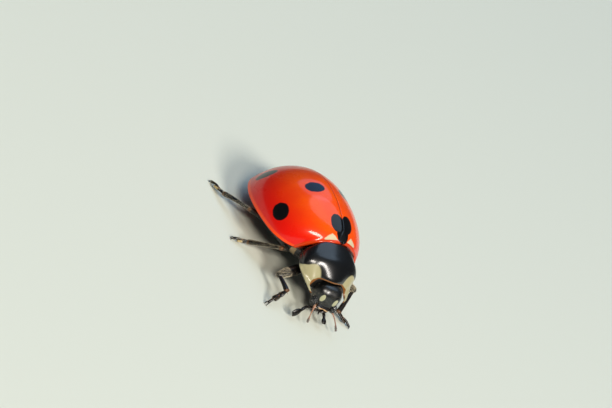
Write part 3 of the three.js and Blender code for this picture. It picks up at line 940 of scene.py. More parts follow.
# ------------------------------------------------------------------ the prothorax
@dataclass(frozen=True)
class Pronotum:
    """The plate over the prothorax. Its lists run from the hind edge to the front edge."""

    half_width: Numbers = (1.5, 1.65, 1.5, 1.06)
    margin: Numbers = (1.86, 1.78, 1.64, 1.36)
    crown: Numbers = (3.06, 2.87, 2.63, 1.99)
    edge_y: Numbers = (-0.22, -0.82, -1.11, -1.64)
    crown_y: Numbers = (-0.03, -0.52, -1.05, -1.54)
    section_power: float = 0.92
    front_middle: float = 0.14  # the front edge bulges this far forward in its middle,
    front_hollow: float = 0.1  # is drawn this far back beside it
    front_angle: float = 0.36  # and ends in a point this far forward on each side of the head,
    angle_height: float = 0.14  # which takes up this share of the height there
    turn: float = -4.5
    shift: float = -0.18
    pale_from: Numbers = (0.3, 0.47, 0.6, 0.64, 0.675, 0.75)  # where the pale corner starts,
    pale_width: float = 0.3  # from the side in to this far across
    pale_rounding: float = 30.0  # how sharp the pale corner's own corners are
    rim: float = 0.03
    rim_drop: float = 1.6  # how far the side's bead turns down, in rim widths
    fold: float = 0.42  # how far the plate is folded in underneath
    fold_taper: float = 0.92  # how much less at the front
    wall: float = 0.045
    rows: int = 44
    columns: int = 97

    def point(self, u: Array, v: Array, inset: Array | float = 0.0) -> Array:
        """A place on the plate, before it is turned.

        Args:
            u: How far across it lies, from 0 on the right to 1 on the left.
            v: How far along it lies, from 0 at the back to 1 at the front.
            inset: How far inside the plate it lies.

        Returns:
            Points in millimetres of the body frame.
        """
        angle = (2 * u - 1) * QUARTER
        side = np.sin(angle)
        margin = along(self.margin, v)
        rise = along(self.crown, v) - margin - inset
        crown_y, edge_y = along(self.crown_y, v), along(self.edge_y, v)
        x = (along(self.half_width, v) - inset) * signed_power(side, self.section_power)
        reach = np.abs(side)
        forward = self.front_middle * hump(reach, 0, 0.38) - self.front_hollow * hump(reach, 0.68, 0.2)
        forward = forward + self.front_angle * hump(np.cos(angle), 0, self.angle_height)
        y = crown_y + (edge_y - crown_y) * side * side - ramp(v, 0.6, 1) * forward
        return np.stack([x, y, margin + rise * np.maximum(np.cos(angle), 0) ** self.section_power], -1)

    def posed(self, points: Array) -> Array:
        """Turns points of the plate with the prothorax."""
        return turned(points, self.turn) + np.array([self.shift, 0, 0])

    def relief(self, u: Array, v: Array) -> Array:
        """How far the plate's edges stand out in beads and roll in.

        Args:
            u: Places across the plate.
            v: Places along the plate.

        Returns:
            The height over the plain plate, in rim widths.
        """
        from_side = np.minimum(u, 1 - u)
        side_bead = 0.7 * hump(from_side, 0.006, 0.012) - 0.5 * hump(from_side, 0.035, 0.02)
        hind_bead = 0.4 * hump(v, 0, 0.015)
        roll_in = 1.6 * ramp(v, 0.045, 0) + 1.2 * ramp(v, 0.94, 1)
        return side_bead + hind_bead - roll_in

    def folded(self, edge: Array, side: Side, v: Array) -> Array:
        """The turn of one side edge and the strip folded in under it.

        Args:
            edge: The points of the edge, from back to front.
            side: Its side.
            v: How far along the plate each point lies.

        Returns:
            Points, as rows by steps by 3, from the edge inwards.
        """
        inward = np.array([-1.0 * side.value, 0, 0])
        width = (self.fold * (1 - self.fold_taper * v**1.5))[:, None]
        bent = [
            edge + inward * self.rim * (1 - math.cos(a)) - UP * self.rim * math.sin(a) * self.rim_drop
            for a in np.radians([30, 60, 90])
        ]
        bent += [
            edge + inward * (self.rim + width * f) + UP * (0.25 * width * f - self.rim_drop * self.rim)
            for f in (0.2, 0.5, 0.8, 1.0)
        ]
        return np.stack(bent, 1)

    def patch(self) -> Patch:
        """The plate with its beads, folded in underneath on both sides.

        Returns:
            A closed patch, with the marks corner and front.
        """
        v, u = np.meshgrid(np.linspace(0, 1, self.rows), np.linspace(0, 1, self.columns), indexing="ij")
        top = self.point(u, v)
        top = top + facing(top) * self.rim * self.relief(u, v)[..., None]
        right, left = self.folded(top[:, 0], Side.RIGHT, v[:, 0]), self.folded(top[:, -1], Side.LEFT, v[:, 0])
        grid = np.concatenate([right[:, ::-1], top, left], 1)
        u_all = np.pad(u, ((0, 0), (right.shape[1], left.shape[1])), "edge")
        v_all = np.repeat(v[:, :1], grid.shape[1], 1)
        from_side = np.minimum(u_all, 1 - u_all)
        front = v_all + 0.014 * ramp(from_side, 0.4, 0.1) + 0.02 * hump(from_side, 0.14, 0.05)
        marks = {"corner": self.corner(from_side, v_all), "front": front}
        return walled(self.posed(grid), self.wall, marks)

    def corner(self, from_side: Array, v: Array) -> Array:
        """How deep a place lies in the pale front corner.

        Args:
            from_side: How far it lies from the nearer side edge, as a share of the plate.
            v: How far along the plate it lies.

        Returns:
            Over 0.5 inside the corner and under 0.5 outside.
        """
        behind = along(self.pale_from, np.minimum(from_side / self.pale_width, 1))
        inner = self.pale_width - from_side
        rear = (v - behind) * 0.55
        front = (1.04 - v) * 0.8 + np.maximum(0.2 - from_side, 0)
        sharp = self.pale_rounding
        rounded = -np.log(sum(np.exp(-depth * sharp) for depth in (inner, rear, front))) / sharp
        return 0.5 + rounded * 4


@dataclass(frozen=True)
class Prosternum:
    """The underside of the prothorax, which hangs between the front legs."""

    plate: Pronotum
    inset: float = 0.1
    hind_depth: float = 0.66
    front_depth: float = 0.42
    keel: float = 0.05
    keel_at: float = 0.14
    start: float = 0.03  # how far along the plate it starts,
    end: float = 0.76  # and how far it reaches; the head fills the rest
    rows: int = 20
    half_columns: int = 33

    def section(self, v: float) -> Array:
        """One section.

        Args:
            v: How far along the plate it lies.

        Returns:
            A ring of points: along the inside of the plate, and back across the underside.
        """
        u = np.linspace(0, 1, self.half_columns)
        over = self.plate.point(u, np.full_like(u, v), self.inset)
        right, left = over[0], over[-1]
        angle = np.linspace(0, math.pi, self.half_columns)[1:]
        x = right[0] + (left[0] - right[0]) * (1 + np.cos(angle)) / 2
        depth = self.hind_depth + (self.front_depth - self.hind_depth) * v
        pair = hump(x, -self.keel_at, 0.04) + hump(x, self.keel_at, 0.04)
        keels = self.keel * pair * ramp(v, self.end, self.end - 0.2)
        z = left[2] - depth * np.sin(angle) ** 0.8 - keels
        return np.concatenate([over, np.stack([x, np.full_like(x, left[1]), z], -1)])

    def patch(self) -> Patch:
        """A closed block that fills the plate and hangs below it, with two fine keels between the legs.

        Returns:
            A closed patch.
        """
        rings = [self.section(v) for v in np.linspace(self.start, self.end, self.rows)]
        rear = rings[0] * [1, 0, 1] + np.array([0, -0.1, 0])
        return Patch.woven(self.plate.posed(drawn_shut([rear, *rings])), lie=BACKWARD)


# ------------------------------------------------------------------ the trunk
@dataclass(frozen=True)
class Trunk:
    """The hind body under the wing cases: the breast plates and the rings of the belly."""

    dome: Dome
    ledge: Numbers
    breast_start: float = 0.0
    breast_end: float = 2.56
    breast_depth: float = 0.68
    belly_end: float = 5.5
    belly_depth: float = 0.57
    tail_depth: float = 0.12
    rings: int = 6
    ring_step: float = 0.045
    rows: int = 44  # along the breast
    ring_rows: int = 16  # along each ring of the belly
    columns: int = 41  # across the underside

    def inset(self, y: Array) -> Array:
        """How far the body's side lies in from the outline of the wing cases."""
        share = np.arcsin(np.clip(y / self.dome.length, 0, 1)) / QUARTER
        return along(self.ledge, share) * 0.9

    @property
    def across(self) -> Array:
        """The places across the underside of a section, from 1 on the left to -1 on the right."""
        return np.cos(np.linspace(0, math.pi, self.columns))

    def section(self, y: float, depth: float, relief: Array | float) -> Array:
        """One closed section of the body.

        Args:
            y: Its place along the body.
            depth: How far it hangs below the margin.
            relief: How far the underside is raised, at each place across it or all over.

        Returns:
            The points of the section.
        """
        half = float(self.dome.half_width_at(np.array(y), float(self.inset(np.array(y)))))
        level = float(self.dome.margin(y))
        low = depth * np.sin(np.linspace(0, math.pi, self.columns)) ** 0.62 - relief
        below = np.stack([half * self.across, np.full_like(self.across, y), level - low], -1)
        over = np.linspace(math.pi, 0, 9)[1:]
        above = np.stack([half * np.cos(over), np.full_like(over, y), level + 0.3 * np.sin(over)], -1)
        return np.concatenate([below, above])

    def breast(self) -> Patch:
        """The middle and hind breast plates, with the lines between them and the pale side plates.

        Returns:
            A closed patch, with the mark side_plate.
        """
        sections, pale = [], []
        x = self.across
        for y in np.linspace(self.breast_start, self.breast_end, self.rows):
            depth = self.breast_depth * min(0.75 + 0.25 * y, 1)
            lengthwise = 0.035 * hump(x, 0, 0.02) + 0.04 * hump(np.abs(x), 0.78, 0.02)
            lines = 0.05 * hump(y, 1.32, 0.035) + lengthwise
            section = self.section(y, depth, lines)
            out = np.abs(section[:, 0]) / np.abs(section[:, 0]).max()
            low = section[:, 2] < self.dome.margin(y) + 0.02
            pale.append(ramp(out, 0.9, 0.94) * ramp(y, 0.26, 0.32) * ramp(y, 0.52, 0.45) * low)
            sections.append(section)
        side_plate = np.stack([pale[0], *pale, pale[-1]])
        return Patch.woven(drawn_shut(sections), {"side_plate": side_plate}, BACKWARD)

    def belly(self) -> Patch:
        """The belly, each ring lapping over the next.

        Returns:
            A closed patch.
        """
        sections = []
        steps = self.ring_rows * self.rings
        for k, y in enumerate(np.linspace(self.breast_end + 0.02, self.belly_end, steps + 1)):
            t = k / steps
            depth = self.belly_depth + (self.tail_depth - self.belly_depth) * t * t
            step = (t * self.rings) % 1 if t < 1 else 0.0
            lap = self.ring_step * (1 - step) ** 1.5 * ramp(step, 0, 0.07)
            sections.append(self.section(y, depth, lap))
        return Patch.woven(drawn_shut(sections), lie=BACKWARD)


@dataclass(frozen=True)
class Scutellum:
    """The small triangular plate between the bases of the wing cases."""

    dome: Dome
    half_width: float = 0.27
    length: float = 0.44
    proud: float = 0.012
    wall: float = 0.08

    def patch(self) -> Patch:
        """A slightly crowned triangle, closed underneath.

        Returns:
            A closed patch.
        """
        v, u = np.meshgrid(np.linspace(0, 1, 14), np.linspace(-1, 1, 17), indexing="ij")
        x, y = u * self.half_width * (1 - v) ** 0.85, self.length * v
        level = self.dome.height_at(x, y) + self.proud * (1 - u**4) * ramp(v, 1, 0.8)
        return walled(np.stack([x, y, level], -1)[:, ::-1], self.wall)


# ------------------------------------------------------------------ the head
@dataclass(frozen=True)
class Head:
    """The head and its mouthparts, worked out facing straight ahead and then turned with the head."""

    centre: Point = (-0.095, -1.59, 1.21)
    half: Point = (0.715, 0.585, 0.625)
    turn: float = -13.0
    fullness: float = 2.8  # how boxy the head is from side to side,
    profile: float = 2.1  # and how boxy it is seen from the side
    eye_at: Point = (0.565, -0.42, -0.35)
    eye_half: Point = (0.17, 0.2, 0.24)
    spot_at: Point = (0.37, -0.55, 0.06)
    spot_half: tuple[float, float] = (0.118, 0.195)
    lip_half: Point = (0.36, 0.16, 0.06)
    lip_at: Point = (0.0, -0.545, -0.38)
    lip_tilt: float = 28.0
    jaw: Points = (
        (0.34, -0.26, -0.5), (0.35, -0.42, -0.59), (0.23, -0.55, -0.65), (0.05, -0.61, -0.67),
    )
    jaw_wide: Numbers = (0.12, 0.13, 0.095, 0.03)
    chin_half: Point = (0.27, 0.24, 0.13)
    chin_at: Point = (0, -0.1, -0.66)
    # each small joint on the lower lip, as its path and its half widths
    chin_joints: tuple[tuple[Points, Numbers], ...] = (
        (((0.34, -0.05, -0.58), (0.34, -0.24, -0.7), (0.28, -0.38, -0.76)), (0.1, 0.11, 0.07)),
        (((0.21, -0.28, -0.72), (0.16, -0.44, -0.78), (0.1, -0.53, -0.76)), (0.07, 0.07, 0.035)),
        (((0.1, -0.28, -0.72), (0.13, -0.38, -0.84)), (0.04, 0.045)),
        (((0.135, -0.39, -0.86), (0.15, -0.46, -0.94)), (0.04, 0.03)),
    )

    def posed(self, points: Array) -> Array:
        """Takes points round the head's centre to the body frame."""
        return turned(np.asarray(points, float), self.turn) + np.array(self.centre)

    @staticmethod
    def ball(rows: int, columns: int, half: Sequence[float], fullness: float, profile: float = 0.0) -> Array:
        """A rounded box of points round the origin, with its poles at the two sides.

        Args:
            rows: How many points go from pole to pole.
            columns: How many points go round.
            half: Half of its size each way.
            fullness: How boxy it is: 2 is an ellipsoid.
            profile: How boxy it is seen from the side, where that differs.

        Returns:
            Points, as rows by columns by 3.
        """
        over, about = np.linspace(-QUARTER, QUARTER, rows), np.linspace(-math.pi, math.pi, columns)
        a, b = np.meshgrid(over, about, indexing="ij")
        way = np.stack([np.sin(a), np.cos(a) * np.cos(b), np.cos(a) * np.sin(b)], -1)
        round_profile = (np.abs(way[..., 1:]) ** (profile or fullness)).sum(-1, keepdims=True)
        reach = round_profile ** (fullness / (profile or fullness))
        size = (np.abs(way[..., :1]) ** fullness + reach) ** (1 / fullness)
        return way / size * np.asarray(half)

    def capsule(self) -> Patch:
        """The head capsule: a domed crown, the shield over the mouth and a rim round each eye.

        Returns:
            A closed patch.
        """
        shape = self.ball(72, 97, self.half, self.fullness, self.profile)
        x, y, z = shape[..., 0], shape[..., 1], shape[..., 2]
        face = ramp(-y, 0.1, 0.4)
        shield = 0.05 * hump(x, 0, 0.38) * hump(z, -0.34, 0.12) * face
        dip = 0.03 * hump(x, 0, 0.3) * hump(z, -0.17, 0.06) * face
        hollow = 0.02 * hump(x, 0, 0.2) * hump(z, 0.1, 0.25) * face
        cheek = 0.05 * hump(np.abs(x), 0.42, 0.08) * hump(z, -0.42, 0.1) * face
        from_eye = np.linalg.norm(np.stack([np.abs(x), y, z], -1) - self.eye_at, axis=-1)
        brow = 0.02 * hump(from_eye, 0.27, 0.04)
        shape = shape + unit(shape) * (shield - dip - hollow + brow - cheek)[..., None]
        shape[..., 1] -= shield * 0.6
        return Patch.woven(self.posed(shape), lie=np.array([0, -0.6, -0.8]))

    def spots(self, colour: str) -> tuple[Mark, ...]:
        """The two pale marks on the face, next to the eyes.

        Args:
            colour: Their colour.

        Returns:
            The marks, each slanting back to its own side.
        """
        made = []
        for side in Side:
            centre = self.posed(np.array(self.spot_at) * [side.value, 1, 1])
            across = turned(np.array([1, 0.25 * side.value, 0]) * self.spot_half[0], self.turn)
            up = np.array([0, 0.1, 1]) * self.spot_half[1]
            made.append(Mark(tuple(centre), tuple(across), tuple(up), colour, blur=0.18, depth=0.3))
        return tuple(made)

    def eye(self, side: Side) -> Patch:
        """The smooth bulge of one eye."""
        shape = self.ball(33, 49, self.eye_half, 2.0) + np.array(self.eye_at) * [side.value, 1, 1]
        return Patch.woven(self.posed(shape))

    def labrum(self) -> Patch:
        """The upper lip: a short wide plate with a pale front edge.

        Returns:
            A closed patch, with the mark front.
        """
        shape = self.ball(40, 49, self.lip_half, 2.8)
        front = ramp(-shape[..., 1], 0.11, 0.135)
        y = shape[..., 1] + 0.05 * hump(shape[..., 0], 0, 0.08) * front - 0.02
        z = shape[..., 2]
        c, s = math.cos(math.radians(self.lip_tilt)), math.sin(math.radians(self.lip_tilt))
        shape = np.stack([shape[..., 0], y * c - z * s, y * s + z * c], -1) + np.array(self.lip_at)
        return Patch.woven(self.posed(shape), {"front": front}, np.array([0, -0.8, -0.6]))

    def mandible(self, side: Side) -> Patch:
        """One jaw: a curved tooth with a broad base.

        Args:
            side: Its side.

        Returns:
            A closed patch, with the mark tip.
        """
        t = np.linspace(0, 1, 15)
        path, wide = self.posed(along(self.jaw, t) * [side.value, 1, 1]), along(self.jaw_wide, t)
        return tube(path, wide, wide * 0.75, (0, 0.3, 1), 16, marks={"tip": t})

    def lower_lip(self) -> list[Patch]:
        """The lower lip, the two outer jaws beside it and the small feelers on the lip.

        Returns:
            A closed patch for each of them.
        """
        chin = self.ball(24, 33, self.chin_half, 2.6) + np.array(self.chin_at)
        made = [Patch.woven(self.posed(chin), lie=np.array([0, -0.8, -0.6]))]
        t = np.linspace(0, 1, 9)
        for side in Side:
            for path, sizes in self.chin_joints:
                radius = along(sizes, t)
                bent = self.posed(along(path, t) * [side.value, 1, 1])
                made.append(tube(bent, radius, radius * 0.85, (1, 0, 0), 12))
        return made


@dataclass(frozen=True)
class EyeFacets:
    """The lenses of a compound eye, set by Geometry Nodes over the bulge of the eye."""

    head: Head
    side: Side
    lens_mm: float = 0.021
    lens_height_mm: float = 0.009
    detail: int = 5  # how often the net on the eye is made finer
    buried: float = -0.25  # lenses further in than this, as a share of the eye, are left out

    def tree(self) -> GeometryNodeTree:
        """The Geometry Nodes tree: a net of points on the eye, a lens on each, and the eye itself.

        Returns:
            The tree, with inputs for the lenses, the eye and the finish.
        """
        kinds = {"Lens": "Float", "Height": "Float", "Side": "Float", "Half": "Vector", "Centre": "Vector"}
        made, given = started("eye_lenses", {**kinds, "Finish": "Material"})
        net = node(made, "GeometryNodeMeshIcoSphere", {"Radius": 1.0, "Subdivisions": self.detail})
        here = node(made, "GeometryNodeInputPosition")
        out = node(made, SEPARATE, {0: here}).outputs["X"]
        outward = node(made, MATH, {0: out, 1: given["Side"]}, operation="MULTIPLY")
        behind = node(made, "FunctionNodeCompare", {"A": outward, "B": self.buried}, operation="LESS_THAN")
        outer = node(made, "GeometryNodeDeleteGeometry", {"Geometry": net, "Selection": behind})
        by_half = {0: here, 1: given["Half"]}
        scaled = node(made, VECTOR_MATH, by_half, operation="MULTIPLY")
        faces = node(made, VECTOR_MATH, by_half, operation="DIVIDE")
        at_eye = {0: scaled, 1: given["Centre"]}
        moved = node(made, VECTOR_MATH, at_eye, operation="ADD")
        kept = {"Geometry": outer, "Name": "facing", "Value": faces}
        stored = node(made, STORE, kept, data_type="FLOAT_VECTOR")
        placed = node(made, SET_PLACE, {"Geometry": stored, "Position": moved})

        lens = node(made, "GeometryNodeMeshUVSphere", {"Segments": 6, "Rings": 4, "Radius": 1.0})
        flow = node(made, READ, {"Name": "facing"}, data_type="FLOAT_VECTOR")
        turn = node(made, ALIGN, {"Vector": flow}, axis="Z")
        half_lens = node(made, MATH, {0: given["Lens"], 1: 0.5}, operation="MULTIPLY")
        size = node(made, COMBINE, {"X": half_lens, "Y": half_lens, "Z": given["Height"]})
        set_on = {"Points": placed, "Instance": lens, "Rotation": turn, "Scale": size}
        lenses = node(made, "GeometryNodeInstanceOnPoints", set_on)
        smooth = node(made, "GeometryNodeSetShadeSmooth", {"Geometry": lenses})
        both = node(made, "GeometryNodeJoinGeometry", {0: given["Geometry"]})
        made.links.new(smooth.outputs[0], both.inputs[0])
        real = node(made, "GeometryNodeRealizeInstances", {"Geometry": both})
        dressed = node(made, "GeometryNodeSetMaterial", {"Geometry": real, "Material": given["Finish"]})
        node(made, "NodeGroupOutput", {0: dressed})
        return made

    def grow(self, shop: Workshop, finish: Cuticle) -> Object:
        """Sets the lenses on the eye.

        Args:
            shop: The workshop.
            finish: The finish of the eye.

        Returns:
            The eye with its lenses, as one settled piece.
        """
        head, word = self.head, self.side.word
        inputs = {
            "Lens": self.lens_mm, "Height": self.lens_height_mm, "Side": float(self.side.value),
            "Half": head.eye_half, "Finish": shop.material(finish),
            "Centre": tuple(head.posed(np.array(head.eye_at) * [self.side.value, 1, 1])),
        }
        eye = grown(shop.loose("eye", head.eye(self.side)), self.tree(), inputs, f"eye_{word}_facets")
        return shop.settle(eye, [f"eye_{word}"])


# ------------------------------------------------------------------ feelers
@dataclass(frozen=True)
class Feeler:
    """An antenna: eleven joints strung along a curve, the last three making a club."""

    side: Side
    path: Points
    overlap: float = 1.04  # how long each joint is, as a share of its place on the string
    widths: Numbers = (0.07, 0.05, 0.037, 0.032, 0.03, 0.03, 0.032, 0.038, 0.056, 0.064, 0.058)
    lengths: Numbers = (1.5, 1.0, 1.25, 0.95, 0.9, 0.8, 0.8, 0.75, 0.8, 0.85, 1.0)

    def spine(self) -> tuple[Array, Array, Array, Array]:
        """The places of the joints.

        Returns:
            The middle, direction, length and half width of each joint.
        """
        ends = np.concatenate([[0], np.cumsum(self.lengths)]) / sum(self.lengths)
        points = along(self.path, ends)
        middles = (points[1:] + points[:-1]) / 2
        gaps = points[1:] - points[:-1]
        return middles, unit(gaps), np.linalg.norm(gaps, axis=-1), np.array(self.widths)

    def bead(self) -> Patch:
        """One joint of length 1 and half width 1: narrow where it starts and broad near its end.

        Returns:
            A closed patch.
        """
        t = np.linspace(-0.5, 0.5, 9)
        width = along([0.5, 0.72, 0.92, 1.0, 0.8], t + 0.5)
        path = np.stack([np.zeros(9), np.zeros(9), t], -1)
        return tube(path, width, width, (1, 0, 0), 14, (0.06, 0.1))

    @staticmethod
    def tree() -> GeometryNodeTree:
        """The Geometry Nodes tree that puts a bead on each point of the spine.

        Returns:
            The tree, with inputs for the bead, the overlap and the finish.
        """
        made, given = started("string_joints", {"Bead": "Object", "Overlap": "Float", "Finish": "Material"})
        bead = node(made, "GeometryNodeObjectInfo", {"Object": given["Bead"]}).outputs["Geometry"]
        way = node(made, READ, {"Name": "way"}, data_type="FLOAT_VECTOR")
        wide = node(made, READ, {"Name": "wide"}, data_type="FLOAT")
        long = node(made, READ, {"Name": "long"}, data_type="FLOAT")
        turn = node(made, ALIGN, {"Vector": way}, axis="Z")
        lapped = node(made, MATH, {0: long, 1: given["Overlap"]}, operation="MULTIPLY")
        size = node(made, COMBINE, {"X": wide, "Y": wide, "Z": lapped})
        string = {"Points": given["Geometry"], "Instance": bead, "Rotation": turn, "Scale": size}
        strung = node(made, "GeometryNodeInstanceOnPoints", string)
        real = node(made, "GeometryNodeRealizeInstances", {"Geometry": strung})
        smooth = node(made, "GeometryNodeSetShadeSmooth", {"Geometry": real})
        dressed = node(made, "GeometryNodeSetMaterial", {"Geometry": smooth, "Material": given["Finish"]})
        node(made, "NodeGroupOutput", {0: dressed})
        return made

    def build(self, shop: Workshop, finish: Cuticle) -> Object:
        """Strings the joints.

        Args:
            shop: The workshop.
            finish: The finish of the joints.

        Returns:
            The feeler, in millimetres of the body frame.
        """
        middles, ways, lengths, widths = self.spine()
        spine = bpy.data.meshes.new("spine")
        spine.from_pydata(middles.tolist(), [], [])
        way = spine.attributes.new("way", "FLOAT_VECTOR", "POINT")
        way.data.foreach_set("vector", ways.astype(np.float32).ravel())
        for name, values in (("wide", widths), ("long", lengths), ("share", np.linspace(0, 1, len(widths)))):
            spine.attributes.new(name, "FLOAT", "POINT").data.foreach_set("value", values.astype(np.float32))
        bead = shop.loose("bead", self.bead())
        inputs = {"Bead": bead, "Overlap": self.overlap, "Finish": shop.material(finish)}
        made = grown(shown("spine", spine), self.tree(), inputs, f"feeler_{self.side.word}")
        bpy.data.objects.remove(bead)
        return made

    def skin(self) -> Patch:
        """A plain tube where the joints are, for the hairs to stand on."""
        t = np.linspace(0, 1, 30)
        return tube(along(self.path, t), along(self.widths, t), along(self.widths, t), (0, 0, 1), 10)


@dataclass(frozen=True)
class Palp:
    """A jaw feeler of four joints, the last one an axe blade."""

    side: Side
    path: Points
    flat: Point
    blade_half: float
    blade_from: float  # where on the path the blade starts
    stops: Numbers = (0.0, 0.2, 0.52)  # where the joints before it start
    base_half: Numbers = (0.065, 0.055, 0.06)
    tip_half: Numbers = (0.075, 0.08, 0.07)
    blade_wide: Numbers = (0.42, 0.78, 1.0, 1.0, 0.86)  # as shares of blade_half
    blade_deep: Numbers = (0.055, 0.075, 0.08, 0.07, 0.045)

    def patches(self) -> list[Patch]:
        """The joints and the blade.

        Returns:
            A closed patch for each of them.
        """
        made = []
        t = np.linspace(0, 1, 9)
        ends = (*self.stops[1:], self.blade_from + 0.04)
        for start, end, base, tip in zip(self.stops, ends, self.base_half, self.tip_half):
            half = base + (tip - base) * t**0.7
            made.append(tube(along(self.path, start + (end - start) * t), half, half, self.flat, 14))
        reach, u = np.linspace(self.blade_from, 1, 13), np.linspace(0, 1, 13)
        wide = self.blade_half * along(self.blade_wide, u)
        blade = along(self.path, reach)
        made.append(tube(blade, wide, along(self.blade_deep, u), self.flat, 24, (0.3, 0.25)))
        return made


# ------------------------------------------------------------------ legs
@dataclass(frozen=True)
class Foot:
    """A foot: two lobed pads, the slim last joint that rises between them, and two toothed claws."""

    ankle: Point
    claw: Point
    pad_pale: float
    first_wide: Numbers = (0.07, 0.09, 0.12, 0.135)
    first_deep: Numbers = (0.065, 0.07, 0.065, 0.045)
    lobe_wide: Numbers = (0.055, 0.072, 0.085, 0.075)
    lobe_deep: Numbers = (0.055, 0.06, 0.05, 0.035)
    last_wide: Numbers = (0.045, 0.05, 0.062, 0.075)
    last_deep: Numbers = (0.045, 0.05, 0.058, 0.065)
    claw_wide: Numbers = (0.03, 0.026, 0.018, 0.005)
    claw_deep: Numbers = (0.03, 0.024, 0.016, 0.005)
    claw_pale: float = 0.5
    sole: float = 0.001  # nothing reaches lower than this

    def axes(self) -> tuple[Array, Array, Array]:
        """The foot's own directions.

        Returns:
            The way from the ankle to the claws, the way to its left and the way up from it.
        """
        way = unit(np.array(self.claw) - np.array(self.ankle))
        side = unit(np.cross(UP, way))
        return way, side, np.cross(way, side)

    def at(self, share: float, over: float = 0.0, out: float = 0.0) -> Array:
        """A place on the foot.

        Args:
            share: How far it lies on the way from the ankle to the claws' tips.
            over: How far above that line it lies, in millimetres.
            out: How far to the left of it.

        Returns:
            The point.
        """
        way, side, up = self.axes()
        length = float(np.linalg.norm(np.array(self.claw) - np.array(self.ankle)))
        return np.array(self.ankle) + way * share * length + up * over + side * out

    @staticmethod
    def rise(s: float) -> float:
        """How high the last joint arches at a share of its length."""
        return 0.01 + 0.04 * math.sin(math.pi * min(s * 1.1, 1.0)) - 0.035 * s

    def one_claw(self, sign: int) -> list[Patch]:
        """One claw, bent down to the floor, and the tooth at its bend.

        Args:
            sign: 1 for the claw on the left and -1 for the one on the right.

        Returns:
            The claw and its tooth.
        """
        t = np.linspace(0, 1, 12)
        way, side, _ = self.axes()
        base = self.at(0.87, self.rise(1.0) - 0.005, sign * 0.03)
        bend = self.at(0.93, self.rise(1.0) + 0.005, sign * 0.055)
        tip = self.at(0.99, 0.0, sign * 0.075) * [1, 1, 0] + UP * 0.006
        hook = along([base, bend, (bend + tip) / 2 + way * 0.03, tip], t)
        wide, deep = along(self.claw_wide, t), along(self.claw_deep, t)
        claw = tube(hook, wide, deep, side, 10, (0.5, 0.5), {"end": self.claw_pale * t})
        line = np.linspace(bend - side * sign * 0.01, bend - UP * 0.06 + way * 0.02, 6)
        pale = {"end": np.full(6, self.claw_pale)}
        tooth = tube(line, np.linspace(0.022, 0.005, 6), np.linspace(0.02, 0.005, 6), side, 8, marks=pale)
        return [claw, tooth]

    def patch(self) -> Patch:
        """The whole foot.

        Returns:
            One patch, with the marks end and pad.
        """
        t = np.linspace(0, 1, 12)
        _, side, _ = self.axes()
        first = np.stack([self.at(0.02 + 0.3 * s, -0.02 * s) for s in t])
        wide, deep = along(self.first_wide, t), along(self.first_deep, t)
        made = [tube(first, wide, deep, side, 18, (0.5, 0.35), {"end": ramp(t, 0.3, 0)})]
        wide, deep = along(self.lobe_wide, t), along(self.lobe_deep, t)
        pale = {"pad": self.pad_pale * ramp(t, 0.0, 0.6)}
        for sign in (-1, 1):
            places = (self.at(0.27 + 0.34 * s, -0.03 - 0.02 * s, sign * (0.03 + 0.045 * s)) for s in t)
            lobe = np.stack(list(places))
            made.append(tube(lobe, wide, deep, side, 16, (0.6, 0.8), pale))
        last = np.stack([self.at(0.38 + 0.5 * s, self.rise(s)) for s in t])
        wide, deep = along(self.last_wide, t), along(self.last_deep, t)
        made.append(tube(last, wide, deep, side, 14, (0.6, 0.5), {"end": ramp(t, 0.4, 0)}))
        made += [part for sign in (-1, 1) for part in self.one_claw(sign)]
        patch = Patch.joined(made)
        patch.points[:, 2] = np.maximum(patch.points[:, 2], self.sole)
        return patch


